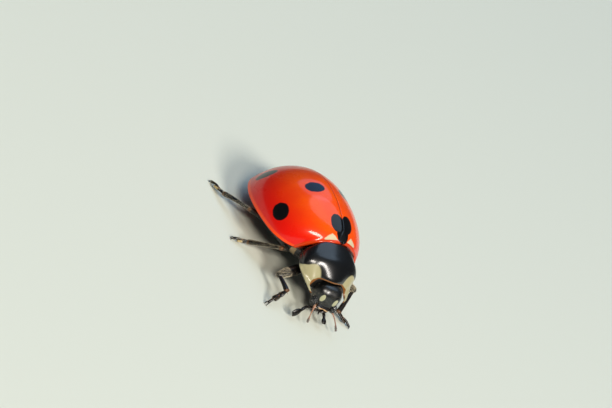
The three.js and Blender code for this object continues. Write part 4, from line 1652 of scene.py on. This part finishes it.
@dataclass(frozen=True)
class Leg:
    """One leg, by the places of its joints. Its lists of widths run outwards."""

    name: str
    root: Point
    hip: Point
    knee: Point
    ankle: Point
    claw: Point
    thigh_half: float = 0.215
    thigh_depth: float = 0.72  # as a share of its width
    shin_half: float = 0.142
    shin_depth: float = 0.8
    knee_pale: float = 1.0  # how far the knee thins to brown
    pad_pale: float = 1.0  # how pale the foot's pads are
    coxa_wide: Numbers = (0.24, 0.27, 0.23, 0.16)
    coxa_deep: Numbers = (0.2, 0.23, 0.2, 0.15)
    ring_wide: Numbers = (0.11, 0.145, 0.13)
    ring_deep: Numbers = (0.1, 0.13, 0.115)
    ring_from: float = -0.1  # where the ring starts, from the hip,
    ring_length: float = 0.26  # and how long it is
    thigh_wide: Numbers = (0.5, 0.8, 0.97, 1.0, 0.92, 0.76, 0.6)  # as shares of the half width
    thigh_deep: Numbers = (0.6, 0.85, 1.0, 1.0, 0.95, 0.85, 0.7)
    thigh_lift: float = 0.035
    shin_wide: Numbers = (0.72, 0.72, 0.8, 0.88, 1.0, 1.08)
    shin_lift: float = 0.03
    steps: int = 26  # along the thigh and along the shin

    @property
    def front(self) -> bool:
        """Whether it is one of the front legs."""
        return self.name.startswith("front")

    @staticmethod
    def bow(start: Point, end: Point, lift: float, t: Array) -> Array:
        """A path between two joints that is lifted in its middle.

        Args:
            start: The first joint.
            end: The second joint.
            lift: How far the middle is lifted.
            t: The places on the path, from 0 at the first joint to 1 at the second.

        Returns:
            A point for each place.
        """
        t = t[:, None]
        path = np.array(start) * (1 - t) + np.array(end) * t
        path[:, 2] += lift * 4 * (t * (1 - t))[:, 0]
        return path

    def coxa(self) -> Patch:
        """The hip joint: a short cone, and the small ring between it and the thigh.

        Returns:
            One patch.
        """
        t = np.linspace(0, 1, 14)
        path = self.bow(self.root, self.hip, 0.0, t)
        cone = tube(path, along(self.coxa_wide, t), along(self.coxa_deep, t), (0, 1, 0.2), 22)
        t = np.linspace(0, 1, 8)
        hip, way = np.array(self.hip), unit(np.array(self.knee) - np.array(self.hip))
        path = hip + way * self.ring_from + way * self.ring_length * t[:, None]
        ring = tube(path, along(self.ring_wide, t), along(self.ring_deep, t), (0, 0, 1), 18)
        return Patch.joined([cone, ring])

    def femur(self, first: float = 0.0, last: float = 1.0) -> Patch:
        """The thigh: a flattened spindle, widest before its middle.

        Args:
            first: Where it starts, as a share of the way from hip to knee.
            last: Where it ends.

        Returns:
            A closed patch.
        """
        t = np.linspace(first, last, self.steps)
        path = self.bow(self.hip, self.knee, self.thigh_lift, t)
        wide = self.thigh_half * along(self.thigh_wide, t)
        deep = self.thigh_depth * self.thigh_half * along(self.thigh_deep, t)
        flat = np.array(self.ankle) - np.array(self.knee)
        return tube(path, wide, deep, flat, 26, (0.5, 0.9), {"end": self.knee_pale * ramp(t, 0.9, 1.0)})

    def tibia(self) -> Patch:
        """The shin, a little broader at its end, with two short spurs.

        Returns:
            One patch, with the mark end.
        """
        t = np.linspace(0, 1, self.steps)
        path = self.bow(self.knee, self.ankle, self.shin_lift, t)
        wide = self.shin_half * along(self.shin_wide, t)
        flat = np.array(self.knee) - np.array(self.hip)
        marks = {"end": np.maximum(self.knee_pale * ramp(t, 0.1, 0.0), ramp(t, 0.88, 1.0))}
        made = [tube(path, wide, wide * self.shin_depth, flat, 20, (0.9, 0.45), marks)]
        way = unit(path[-1] - path[-2])
        side = unit(np.cross(way, UP))
        half = np.linspace(0.018, 0.004, 6)
        for sign in (-1, 1):
            start = path[-1] + side * sign * 0.05 - UP * 0.05
            spur = np.linspace(start, start + way * 0.12 + side * sign * 0.03 - UP * 0.03, 6)
            made.append(tube(spur, half, half, (0, 0, 1), 8, marks={"end": np.ones(6)}))
        return Patch.joined(made)

    def tarsus(self) -> Patch:
        """The foot."""
        return Foot(self.ankle, self.claw, self.pad_pale).patch()


# ------------------------------------------------------------------ hairs
LENGTH_SEED = 7  # of the hairs' differences in length
# the fields of a coat that its tree takes as inputs, each under its own name
COAT_NUMBERS = (
    "density", "length", "shortest", "longest", "girth", "lift", "curl", "untidy", "floor", "patch",
)


@dataclass(frozen=True)
class Coat:
    """Hairs that Geometry Nodes stand on a skin. Sizes are in millimetres."""

    name: str
    density: float  # per square millimetre
    length: float
    girth: float
    lift: float  # 0 lies flat along the skin and 1 stands upright
    curl: float = 0.12  # how far the tip bends down, as a share of the length
    untidy: float = 0.25
    seed: int = 1
    floor: float = 0.002  # no hair reaches lower than this
    patch: float = 0.003  # how large one hair is on the unwrap
    shortest: float = 0.65  # as a share of the length
    longest: float = 1.2

    def tree(self) -> GeometryNodeTree:
        """The Geometry Nodes tree that scatters the hairs and gives each its place on the skin's unwrap.

        Returns:
            The tree, with an input for each number, the seed and the finish.
        """
        floats = dict.fromkeys((number.title() for number in COAT_NUMBERS), "Float")
        made, given = started(self.name, floats | {"Seed": "Int", "Finish": "Material"})
        spread = {"Mesh": given["Geometry"], "Density": given["Density"], "Seed": given["Seed"]}
        roots = node(made, "GeometryNodeDistributePointsOnFaces", spread, distribute_method="RANDOM")
        unwrap = node(made, READ, {"Name": UNWRAP}, data_type="FLOAT_VECTOR")
        noted = {"Geometry": roots, "Name": "root_place", "Value": unwrap}
        rooted = node(made, STORE, noted, data_type="FLOAT_VECTOR")
        bare = node(made, "GeometryNodeRemoveAttribute", {"Geometry": rooted, "Name": UNWRAP})

        lie = node(made, READ, {"Name": "lie"}, data_type="FLOAT_VECTOR")
        upright = roots.outputs["Normal"]
        combed = node(made, MIX, {"Factor": given["Lift"], "A": lie, "B": upright}, data_type="VECTOR")
        any_way = {"Min": (-1.0,) * 3, "Max": (1.0,) * 3, "Seed": given["Seed"]}
        stray = node(made, "FunctionNodeRandomValue", any_way, data_type="FLOAT_VECTOR")
        astray = node(made, VECTOR_MATH, {0: stray, "Scale": given["Untidy"]}, operation="SCALE")
        way = node(made, VECTOR_MATH, {0: combed, 1: astray}, operation="ADD")
        stand = node(made, ALIGN, {"Vector": way}, axis="Z")
        rolled = {"Rotation": stand, "Vector": upright}
        turn = node(made, ALIGN, rolled, axis="X", pivot_axis="Z")

        shape = {"Vertices": 3, "Side Segments": 2, "Radius Top": 0.0, "Radius Bottom": 1.0, "Depth": 1.0}
        cone = node(made, "GeometryNodeMeshCone", shape, fill_type="NONE")
        here = node(made, "GeometryNodeInputPosition")
        part = node(made, SEPARATE, {0: here}).outputs
        slim = node(made, MATH, {0: given["Length"], 1: given["Girth"]}, operation="DIVIDE")
        bend = node(made, MATH, {0: slim, 1: given["Curl"]}, operation="MULTIPLY")
        square = node(made, MATH, {0: part["Z"], 1: part["Z"]}, operation="MULTIPLY")
        sunk = node(made, MATH, {0: square, 1: bend}, operation="MULTIPLY")
        aside = node(made, MATH, {0: part["X"], 1: sunk}, operation="SUBTRACT")
        bent = node(made, COMBINE, {"X": aside, "Y": part["Y"], "Z": part["Z"]})
        on_cone = {"Geometry": cone, "Name": "blade", "Value": here}
        marked = node(made, STORE, on_cone, data_type="FLOAT_VECTOR")
        hair = node(made, SET_PLACE, {"Geometry": marked, "Position": bent})

        shares = {"Min": given["Shortest"], "Max": given["Longest"], "Seed": LENGTH_SEED}
        varied = node(made, "FunctionNodeRandomValue", shares, data_type="FLOAT")
        tall = node(made, MATH, {0: varied, 1: given["Length"]}, operation="MULTIPLY")
        size = node(made, COMBINE, {"X": given["Girth"], "Y": given["Girth"], "Z": tall})
        planted = {"Points": bare, "Instance": hair, "Rotation": turn, "Scale": size}
        hairs = node(made, "GeometryNodeInstanceOnPoints", planted)
        real = node(made, "GeometryNodeRealizeInstances", {"Geometry": hairs})
        above = node(made, MATH, {0: part["Z"], 1: given["Floor"]}, operation="MAXIMUM")
        held_up = node(made, COMBINE, {"X": part["X"], "Y": part["Y"], "Z": above})
        on_floor = node(made, SET_PLACE, {"Geometry": real, "Position": held_up})

        blade = node(made, READ, {"Name": "blade"}, data_type="FLOAT_VECTOR")
        root = node(made, READ, {"Name": "root_place"}, data_type="FLOAT_VECTOR")
        on_blade = node(made, SEPARATE, {0: blade}).outputs
        flat = node(made, COMBINE, {"X": on_blade["X"], "Y": on_blade["Z"]})
        small = node(made, VECTOR_MATH, {0: flat, "Scale": given["Patch"]}, operation="SCALE")
        spot = node(made, VECTOR_MATH, {0: root, 1: small}, operation="ADD")
        patched = {"Geometry": on_floor, "Name": UNWRAP, "Value": spot}
        mapped = node(made, STORE, patched, data_type="FLOAT2", domain="CORNER")
        dressed = node(made, "GeometryNodeSetMaterial", {"Geometry": mapped, "Material": given["Finish"]})
        node(made, "NodeGroupOutput", {0: dressed})
        return made

    def grow(self, shop: Workshop, skin: Sequence[Patch], finish: Cuticle, slot: str) -> Object:
        """Grows the coat.

        Args:
            shop: The workshop.
            skin: The patches that the hairs stand on.
            finish: The finish of the hairs.
            slot: Not used.

        Returns:
            The coat as one settled piece.
        """
        inputs = {number.title(): getattr(self, number) for number in COAT_NUMBERS}
        inputs |= {"Seed": self.seed, "Finish": shop.material(finish)}
        made = grown(shop.loose("skin", Patch.joined(skin)), self.tree(), inputs, self.name)
        return shop.settle(made)


# ------------------------------------------------------------------ the studio
@dataclass(frozen=True)
class Lamp:
    """A round or oval lamp that looks at the insect."""

    name: str
    way: Point  # from the insect to the lamp
    distance_mm: float
    width_mm: float
    height_mm: float
    strength: float  # how bright its face looks, where 1 is white
    colour: str

    def hang(self, body: BodyFrame, target: Point) -> None:
        """Puts the lamp in the scene.

        Args:
            body: The body frame.
            target: What it looks at, in millimetres of that frame.
        """
        data = bpy.data.lights.new(self.name, "AREA")
        data.shape = "ELLIPSE"
        data.size, data.size_y = self.width_mm * MM, self.height_mm * MM
        face = math.pi / 4 * data.size * data.size_y
        data.energy = self.strength * math.pi * face
        data.color = linear(self.colour)[:3]
        lamp = shown(self.name, data)
        way = Vector(self.way).normalized()
        place = body.to_row(target) + way * self.distance_mm * MM
        lamp.matrix_world = Matrix.Translation(place) @ way.to_track_quat("Z", "Y").to_matrix().to_4x4()
        lamp.visible_camera = False


@dataclass(frozen=True)
class Studio:
    """The floor, the lamps, the pale surroundings and the camera."""

    aim: Point = (-0.345, 2.939, 2.344)
    azimuth: float = -49.27
    elevation: float = 28.95
    roll: float = 44.2
    distance_mm: float = 150.0
    lens: float = 186.7  # its length in millimetres behind a frame this wide
    sensor: float = 36.0
    floor_mm: float = 6000.0
    floor_colour: str = "#cdd1c4"
    floor_roughness: float = 0.9
    floor_specular: float = 0.1
    surround: str = "#e6eef6"
    surround_strength: float = 0.08
    lamps: tuple[Lamp, ...] = (
        Lamp("key", (-0.41, -0.6, 0.68), 400, 150, 84, 31.0, "#fff6ea"),
        Lamp("streak", (0.05, -0.76, 0.65), 400, 88, 124, 46.0, "#fff8f0"),
        Lamp("sky", (0.2, 0.22, 0.95), 500, 540, 360, 2.1, "#c4def8"),
        Lamp("blue_sky", (0.2, 0.7, 0.68), 500, 340, 280, 1.6, "#7fb2f2"),
    )

    def lay_floor(self) -> None:
        """A pale matt floor that keeps the insect's shadow."""
        half = self.floor_mm * MM / 2
        mesh = bpy.data.meshes.new("floor")
        corners = [(-half, -half, 0), (half, -half, 0), (half, half, 0), (-half, half, 0)]
        mesh.from_pydata(corners, [], [range(len(corners))])
        paper = bpy.data.materials.new("matt_paper")
        paper.use_nodes = True
        shader = paper.node_tree.nodes["Principled BSDF"]
        shader.inputs["Base Color"].default_value = linear(self.floor_colour)
        shader.inputs["Roughness"].default_value = self.floor_roughness
        shader.inputs["Specular IOR Level"].default_value = self.floor_specular
        mesh.materials.append(paper)
        shown("floor", mesh)

    def surround_with_light(self) -> None:
        """A pale even surround."""
        world = bpy.data.worlds.new("surround")
        bpy.context.scene.world = world
        world.use_nodes = True
        tree = world.node_tree
        tree.nodes.clear()
        even = {0: linear(self.surround), "Strength": self.surround_strength}
        node(tree, "ShaderNodeOutputWorld", {0: node(tree, "ShaderNodeBackground", even)})

    def set_camera(self, body: BodyFrame) -> None:
        """A long lens, rolled as the insect's stance asks.

        Args:
            body: The body frame.
        """
        data = bpy.data.cameras.new("camera")
        data.lens, data.sensor_width = self.lens, self.sensor
        camera = shown("camera", data)
        a, e, r = (math.radians(v) for v in (self.azimuth, self.elevation, self.roll))
        back = Vector((math.sin(a) * math.cos(e), -math.cos(a) * math.cos(e), math.sin(e)))
        level = Vector((0, 0, 1)).cross(back).normalized()
        upright = back.cross(level)
        right = level * math.cos(r) + upright * math.sin(r)
        up = upright * math.cos(r) - level * math.sin(r)
        turn = Matrix((right, up, back)).transposed().to_4x4()
        place = body.to_row(self.aim) + back * self.distance_mm * MM
        camera.matrix_world = Matrix.Translation(place) @ turn
        bpy.context.scene.camera = camera
        bpy.context.scene.view_settings.view_transform = "Standard"

    def build(self, body: BodyFrame) -> None:
        """Sets up the whole studio.

        Args:
            body: The body frame.
        """
        self.lay_floor()
        self.surround_with_light()
        for lamp in self.lamps:
            lamp.hang(body, self.aim)
        self.set_camera(body)


# ------------------------------------------------------------------ finishes
CREAM = "#a6a684"
INK = "#07080a"
LEFT_SPOT_MM = 0.16  # how much further out the left case's inner spot lies than the right one's


def wing_marks(dome: Dome) -> tuple[Mark | PaintedEdge, ...]:
    """The marks of the wing cases.

    Args:
        dome: The dome that the two cases make.

    Returns:
        The pale patches beside the scutellum, the dark edge at the base, and the seven black spots, the one
        at the scutellum in three lobes.
    """
    pale, black = [], []
    for side in Side:
        sign = side.value
        inner = 0.89 + (LEFT_SPOT_MM if side is Side.LEFT else 0.0)
        pale.append(dome.mark(0.6 * sign, 0.0, 0.33, 0.4, 0, "#cbbb98", blur=0.22, depth=0.4, diamond=0.75))
        black += [
            dome.mark(2.45 * sign, 1.96, 0.47, 0.41, -15 * sign, INK, depth=0.5),
            dome.mark(inner * sign, 2.81, 0.33, 0.49, -11 * sign, INK, depth=0.5),
            dome.mark(1.86 * sign, 4.75, 0.31, 0.58, -42 * sign, INK, depth=0.5),
            dome.mark(0.31 * sign, 0.76, 0.46, 0.36, 8 * sign, INK, depth=0.5),
        ]
    black.append(dome.mark(0.0, 0.3, 0.5, 0.36, 0, INK, depth=0.5))
    return (*pale, PaintedEdge("from_base", "#c8380c", 0.02, 0.008), *black)


def wing_finish(dome: Dome) -> Cuticle:
    """Waxed smooth chitin over a red pigment: deep colour, hard small highlights and faint pits.

    Args:
        dome: The dome that the two cases make.

    Returns:
        The finish of both cases.
    """
    return Cuticle(
        "waxed_red_chitin", "#ee5204", "#e64704", 0.3, cloud_mm=0.9, coat=0.6, coat_roughness=0.08,
        specular=0.1, glow=0.08, pit_mm=0.11, pit_depth_mm=0.0022,
        marks=(
            # painted highlight: a bright orange line along the very rim, where the lit gutter catches the
            # light
            # painted shade: the red deepens to a darker red towards the outer edge, where the flank turns
            # away from the light
            PaintedEdge("from_edge", "#db1206", 1.7, 0.1), PaintedEdge("from_edge", "#f8480f", 0.055, 0.025),
            PaintedEdge("from_suture", "#8e2a0c", 0.024, 0.01), *wing_marks(dome),
        ),
    )


# Polished black chitin with a fine net pressed in it: a mirror-like sheen that is slightly broken up.
PLATE = Cuticle(
    "polished_black_chitin", "#090b0d", "#050607", 0.4, coat=0.95, coat_roughness=0.2, specular=0.14,
    pit_mm=0.07, pit_depth_mm=0.0022, net_depth_mm=0.0008,
    marks=(PaintedEdge("corner", "#a19b77", 0.44, 0.56), PaintedEdge("front", "#7a4a18", 0.976, 0.986)),
)
# The same chitin with coarser pits on the head.
CAPSULE = Cuticle(
    "pitted_black_chitin", "#0a0b0c", "#060707", 0.36, coat=1.0, coat_roughness=0.27, specular=0.25,
    pit_mm=0.075, pit_depth_mm=0.0045, net_depth_mm=0.0008,
)
# Dull wrinkled black chitin with pale side plates, as under the body of a beetle.
UNDERSIDE = Cuticle(
    "dull_black_chitin", "#0d0c0b", "#15110e", 0.45, coat=0.2, pit_mm=0.09, pit_depth_mm=0.004,
    net_depth_mm=0.0008, marks=(PaintedEdge("side_plate", "#8a7350"),),
)
# Black chitin that thins to brown at the joints, where light passes through it.
LIMB = Cuticle(
    "thin_brown_black_chitin", "#080707", "#0f0c09", 0.36, coat=0.35, coat_roughness=0.15, specular=0.25,
    pit_mm=0.05, pit_depth_mm=0.002, net_depth_mm=0.0006,
    marks=(PaintedEdge("end", "#6b4526", 0.4, 1.3), PaintedEdge("pad", "#b09a66", 0.1, 1.1)),
)
# Thin horn-brown chitin with light inside it, as on feelers.
FEELER = Cuticle(
    "amber_brown_chitin", "#b08468", "#946550", 0.35, coat=0.3, coat_roughness=0.2, glow=0.25, pit_mm=0.03,
    pit_depth_mm=0.001, marks=(PaintedEdge("share", "#6a6560", 0.62, 0.95),),
)
# Pale bare edge of the upper lip over dark chitin.
LIP = Cuticle(
    "lip_chitin", "#1c1512", "#120e0c", 0.3, coat=0.4, pit_mm=0.04, pit_depth_mm=0.001,
    marks=(PaintedEdge("front", "#c9a274", 0.3, 0.7),),
)
# Thick hard chitin of a jaw, brown at the base and nearly black at its tip.
JAW = Cuticle(
    "jaw_chitin", "#2c1c10", "#1c120b", 0.25, coat=0.5, pit_mm=0.05, pit_depth_mm=0.001,
    marks=(PaintedEdge("tip", "#120c09", 0.5, 0.9),),
)
# Facets of clear cuticle over black: a soft broken gleam.
EYE = Cuticle("faceted_black_cuticle", "#08090b", "#0d0f12", 0.18, coat=1.0, pit_depth_mm=0.0)
# Translucent golden bristle.
GOLDEN_HAIR = Cuticle("golden_bristle", "#a07a48", "#755229", 0.4, pit_depth_mm=0.0)
# Whitish down, as under the body.
PALE_HAIR = Cuticle("whitish_down", "#c9c0a6", "#a89c80", 0.45, pit_depth_mm=0.0)


# ------------------------------------------------------------------ the ladybird
LEGS = (
    Leg("front_right", (-0.34, -0.38, 1.46), (-0.88, -0.24, 1.3), (-2.33, -0.61, 0.76), (-2.3, -1.6, 0.8),
        (-3.2, -2.0, 0.12), thigh_half=0.27, shin_half=0.13, knee_pale=0.3, pad_pale=0.2),
    Leg("middle_right", (-0.5, 1.05, 1.35), (-1.05, 1.0, 1.12), (-2.2, 0.55, 1.36), (-2.98, 1.58, 0.34),
        (-3.74, 1.88, 0.12)),
    Leg("hind_right", (-0.55, 2.35, 1.1), (-1.2, 2.5, 0.9), (-2.78, 3.14, 0.98), (-3.31, 4.47, 0.36),
        (-3.58, 5.5, 0.12)),
    Leg("front_left", (0.28, -0.52, 1.42), (0.8, -0.5, 1.24), (2.13, -0.79, 1.12), (1.4, -1.68, 0.33),
        (2.06, -2.3, 0.12), thigh_half=0.27, shin_half=0.13, knee_pale=0.3, pad_pale=0.2),
    Leg("middle_left", (0.5, 1.05, 1.35), (1.05, 1.0, 1.12), (2.35, 0.8, 1.32), (3.05, 1.62, 0.34),
        (3.8, 2.0, 0.12)),
    Leg("hind_left", (0.55, 2.35, 1.1), (1.2, 2.5, 0.9), (2.75, 3.08, 0.98), (3.28, 4.4, 0.36),
        (3.62, 5.42, 0.12)),
)
FEELERS = (
    Feeler(Side.LEFT, ((0.24, -2.12, 0.82), (0.49, -2.42, 0.65), (0.58, -2.72, 0.5), (0.53, -3.08, 0.4))),
    Feeler(Side.RIGHT, ((-0.68, -2.08, 0.82), (-0.92, -2.39, 0.66), (-1.06, -2.64, 0.52),
                        (-1.25, -2.93, 0.42))),
)
PALPS = (
    Palp(Side.LEFT, ((0.02, -2.0, 0.54), (-0.02, -2.36, 0.52), (-0.08, -2.74, 0.37)), (1, 0, 0), 0.135, 0.66),
    Palp(Side.RIGHT, ((-0.62, -2.02, 0.54), (-1.18, -2.18, 0.62), (-1.53, -2.38, 0.53), (-1.93, -2.51, 0.32)),
         (0, 0.4, 1), 0.175, 0.64),
)
SHIN_BRISTLES = Coat("shin_bristles", 330, 0.085, 0.0045, 0.24, seed=3)
FRONT_SHIN_BRISTLES = Coat("front_shin_bristles", 90, 0.08, 0.004, 0.3, seed=9)
THIGH_DOWN = Coat("thigh_down", 90, 0.06, 0.005, 0.2, seed=4)
KNEE_BRUSHES = Coat("knee_brushes", 700, 0.16, 0.0042, 0.07, curl=0.03, untidy=0.035, seed=5)
BRUSHED = (0.62, 0.93)  # the part of a front thigh that its brush covers
BELLY_DOWN = Coat("belly_down", 60, 0.075, 0.0042, 0.24, seed=6)
FACE_DOWN = Coat("face_down", 70, 0.045, 0.003, 0.3, seed=7)
FEELER_DOWN = Coat("feeler_down", 150, 0.045, 0.0026, 0.36, seed=8)


@dataclass(frozen=True)
class Ladybird:
    """The whole insect."""

    dome: Dome = Dome()
    plate: Pronotum = Pronotum()
    head: Head = Head()

    def build_shell(self, shop: Workshop) -> None:
        """The wing cases, the scutellum and the plate over the prothorax.

        Args:
            shop: The workshop.
        """
        finish = wing_finish(self.dome)
        for side in Side:
            case = WingCase(side, self.dome)
            shop.make(f"wing_case_{side.word}", case.patch(), finish, [f"elytron_{side.word}"])
        shop.make("scutellum_plate", Scutellum(self.dome).patch(), PLATE, ["scutellum"])
        shop.make("pronotum_plate", self.plate.patch(), PLATE, ["pronotum"])

    def build_trunk(self, shop: Workshop) -> None:
        """The underside, with its down.

        Args:
            shop: The workshop.
        """
        trunk = Trunk(self.dome, WingCase(Side.RIGHT, self.dome).ledge)
        below = {
            "prosternum": ("prosternum_plate", Prosternum(self.plate).patch()),
            "thorax": ("thorax_plates", trunk.breast()),
            "abdomen": ("abdomen_segments", trunk.belly()),
        }
        for code, (name, patch) in below.items():
            shop.make(name, patch, UNDERSIDE, [code])
        skins = [patch for _, patch in below.values()]
        BELLY_DOWN.grow(shop, skins, PALE_HAIR, "underside")

    def build_head(self, shop: Workshop) -> None:
        """The head, its eyes, mouthparts and feelers.

        Args:
            shop: The workshop.
        """
        head = self.head
        capsule = replace(CAPSULE, marks=head.spots(CREAM))
        shop.make("head_capsule", head.capsule(), capsule, ["head"])
        for side in Side:
            EyeFacets(head, side).grow(shop, EYE)
            jaw = f"mandible_{side.word}"
            shop.make(f"{jaw}_tooth", head.mandible(side), JAW, [jaw])
        shop.make("labrum_plate", head.labrum(), LIP, ["labrum"])
        shop.make("labium_plate", Patch.joined(head.lower_lip()), JAW, ["labium"])
        FACE_DOWN.grow(shop, [head.capsule()], PALE_HAIR, "black_shell")
        for feeler in FEELERS:
            shop.settle(feeler.build(shop, FEELER), [f"antenna_{feeler.side.word}"])
        for palp in PALPS:
            name = f"palp_{palp.side.word}"
            shop.make(f"{name}_segments", Patch.joined(palp.patches()), LIMB, [name])
        skins = [feeler.skin() for feeler in FEELERS] + [patch for palp in PALPS for patch in palp.patches()]
        FEELER_DOWN.grow(shop, skins, GOLDEN_HAIR, "horn_brown")

    def build_legs(self, shop: Workshop) -> None:
        """The six legs, with their hairs.

        Args:
            shop: The workshop.
        """
        thighs, thigh_ends, shins, front_shins = [], [], [], []
        for leg in LEGS:
            parts = {"coxa": leg.coxa(), "femur": leg.femur(), "tibia": leg.tibia(), "tarsus": leg.tarsus()}
            for part, patch in parts.items():
                shop.make(f"leg_{leg.name}_{part}", patch, LIMB, [f"{part}_{leg.name}"])
            thighs += [parts["coxa"], parts["femur"]]
            if leg.front:
                thigh_ends.append(leg.femur(*BRUSHED))
                front_shins += [parts["tibia"], parts["tarsus"]]
            else:
                shins += [parts["tibia"], parts["tarsus"]]
        SHIN_BRISTLES.grow(shop, shins, PALE_HAIR, "limb")
        FRONT_SHIN_BRISTLES.grow(shop, front_shins, GOLDEN_HAIR, "limb")
        THIGH_DOWN.grow(shop, thighs, PALE_HAIR, "limb")
        KNEE_BRUSHES.grow(shop, thigh_ends, PALE_HAIR, "limb")

    def build(self, shop: Workshop) -> None:
        """Every piece of the insect.

        Args:
            shop: The workshop.
        """
        self.build_shell(shop)
        self.build_trunk(shop)
        self.build_head(shop)
        self.build_legs(shop)


def main() -> None:
    """Builds the ladybird and its studio, and writes down how large the model is."""
    logging.basicConfig(level=logging.INFO, format="%(message)s")
    body = BodyFrame.of_wing_cases(Dome().length)
    LOG.info("the body frame starts at %s mm", [round(v, 3) for v in body.origin])
    Ladybird().build(Workshop(body))
    Studio().build(body)


if __name__ == "__main__":
    main()
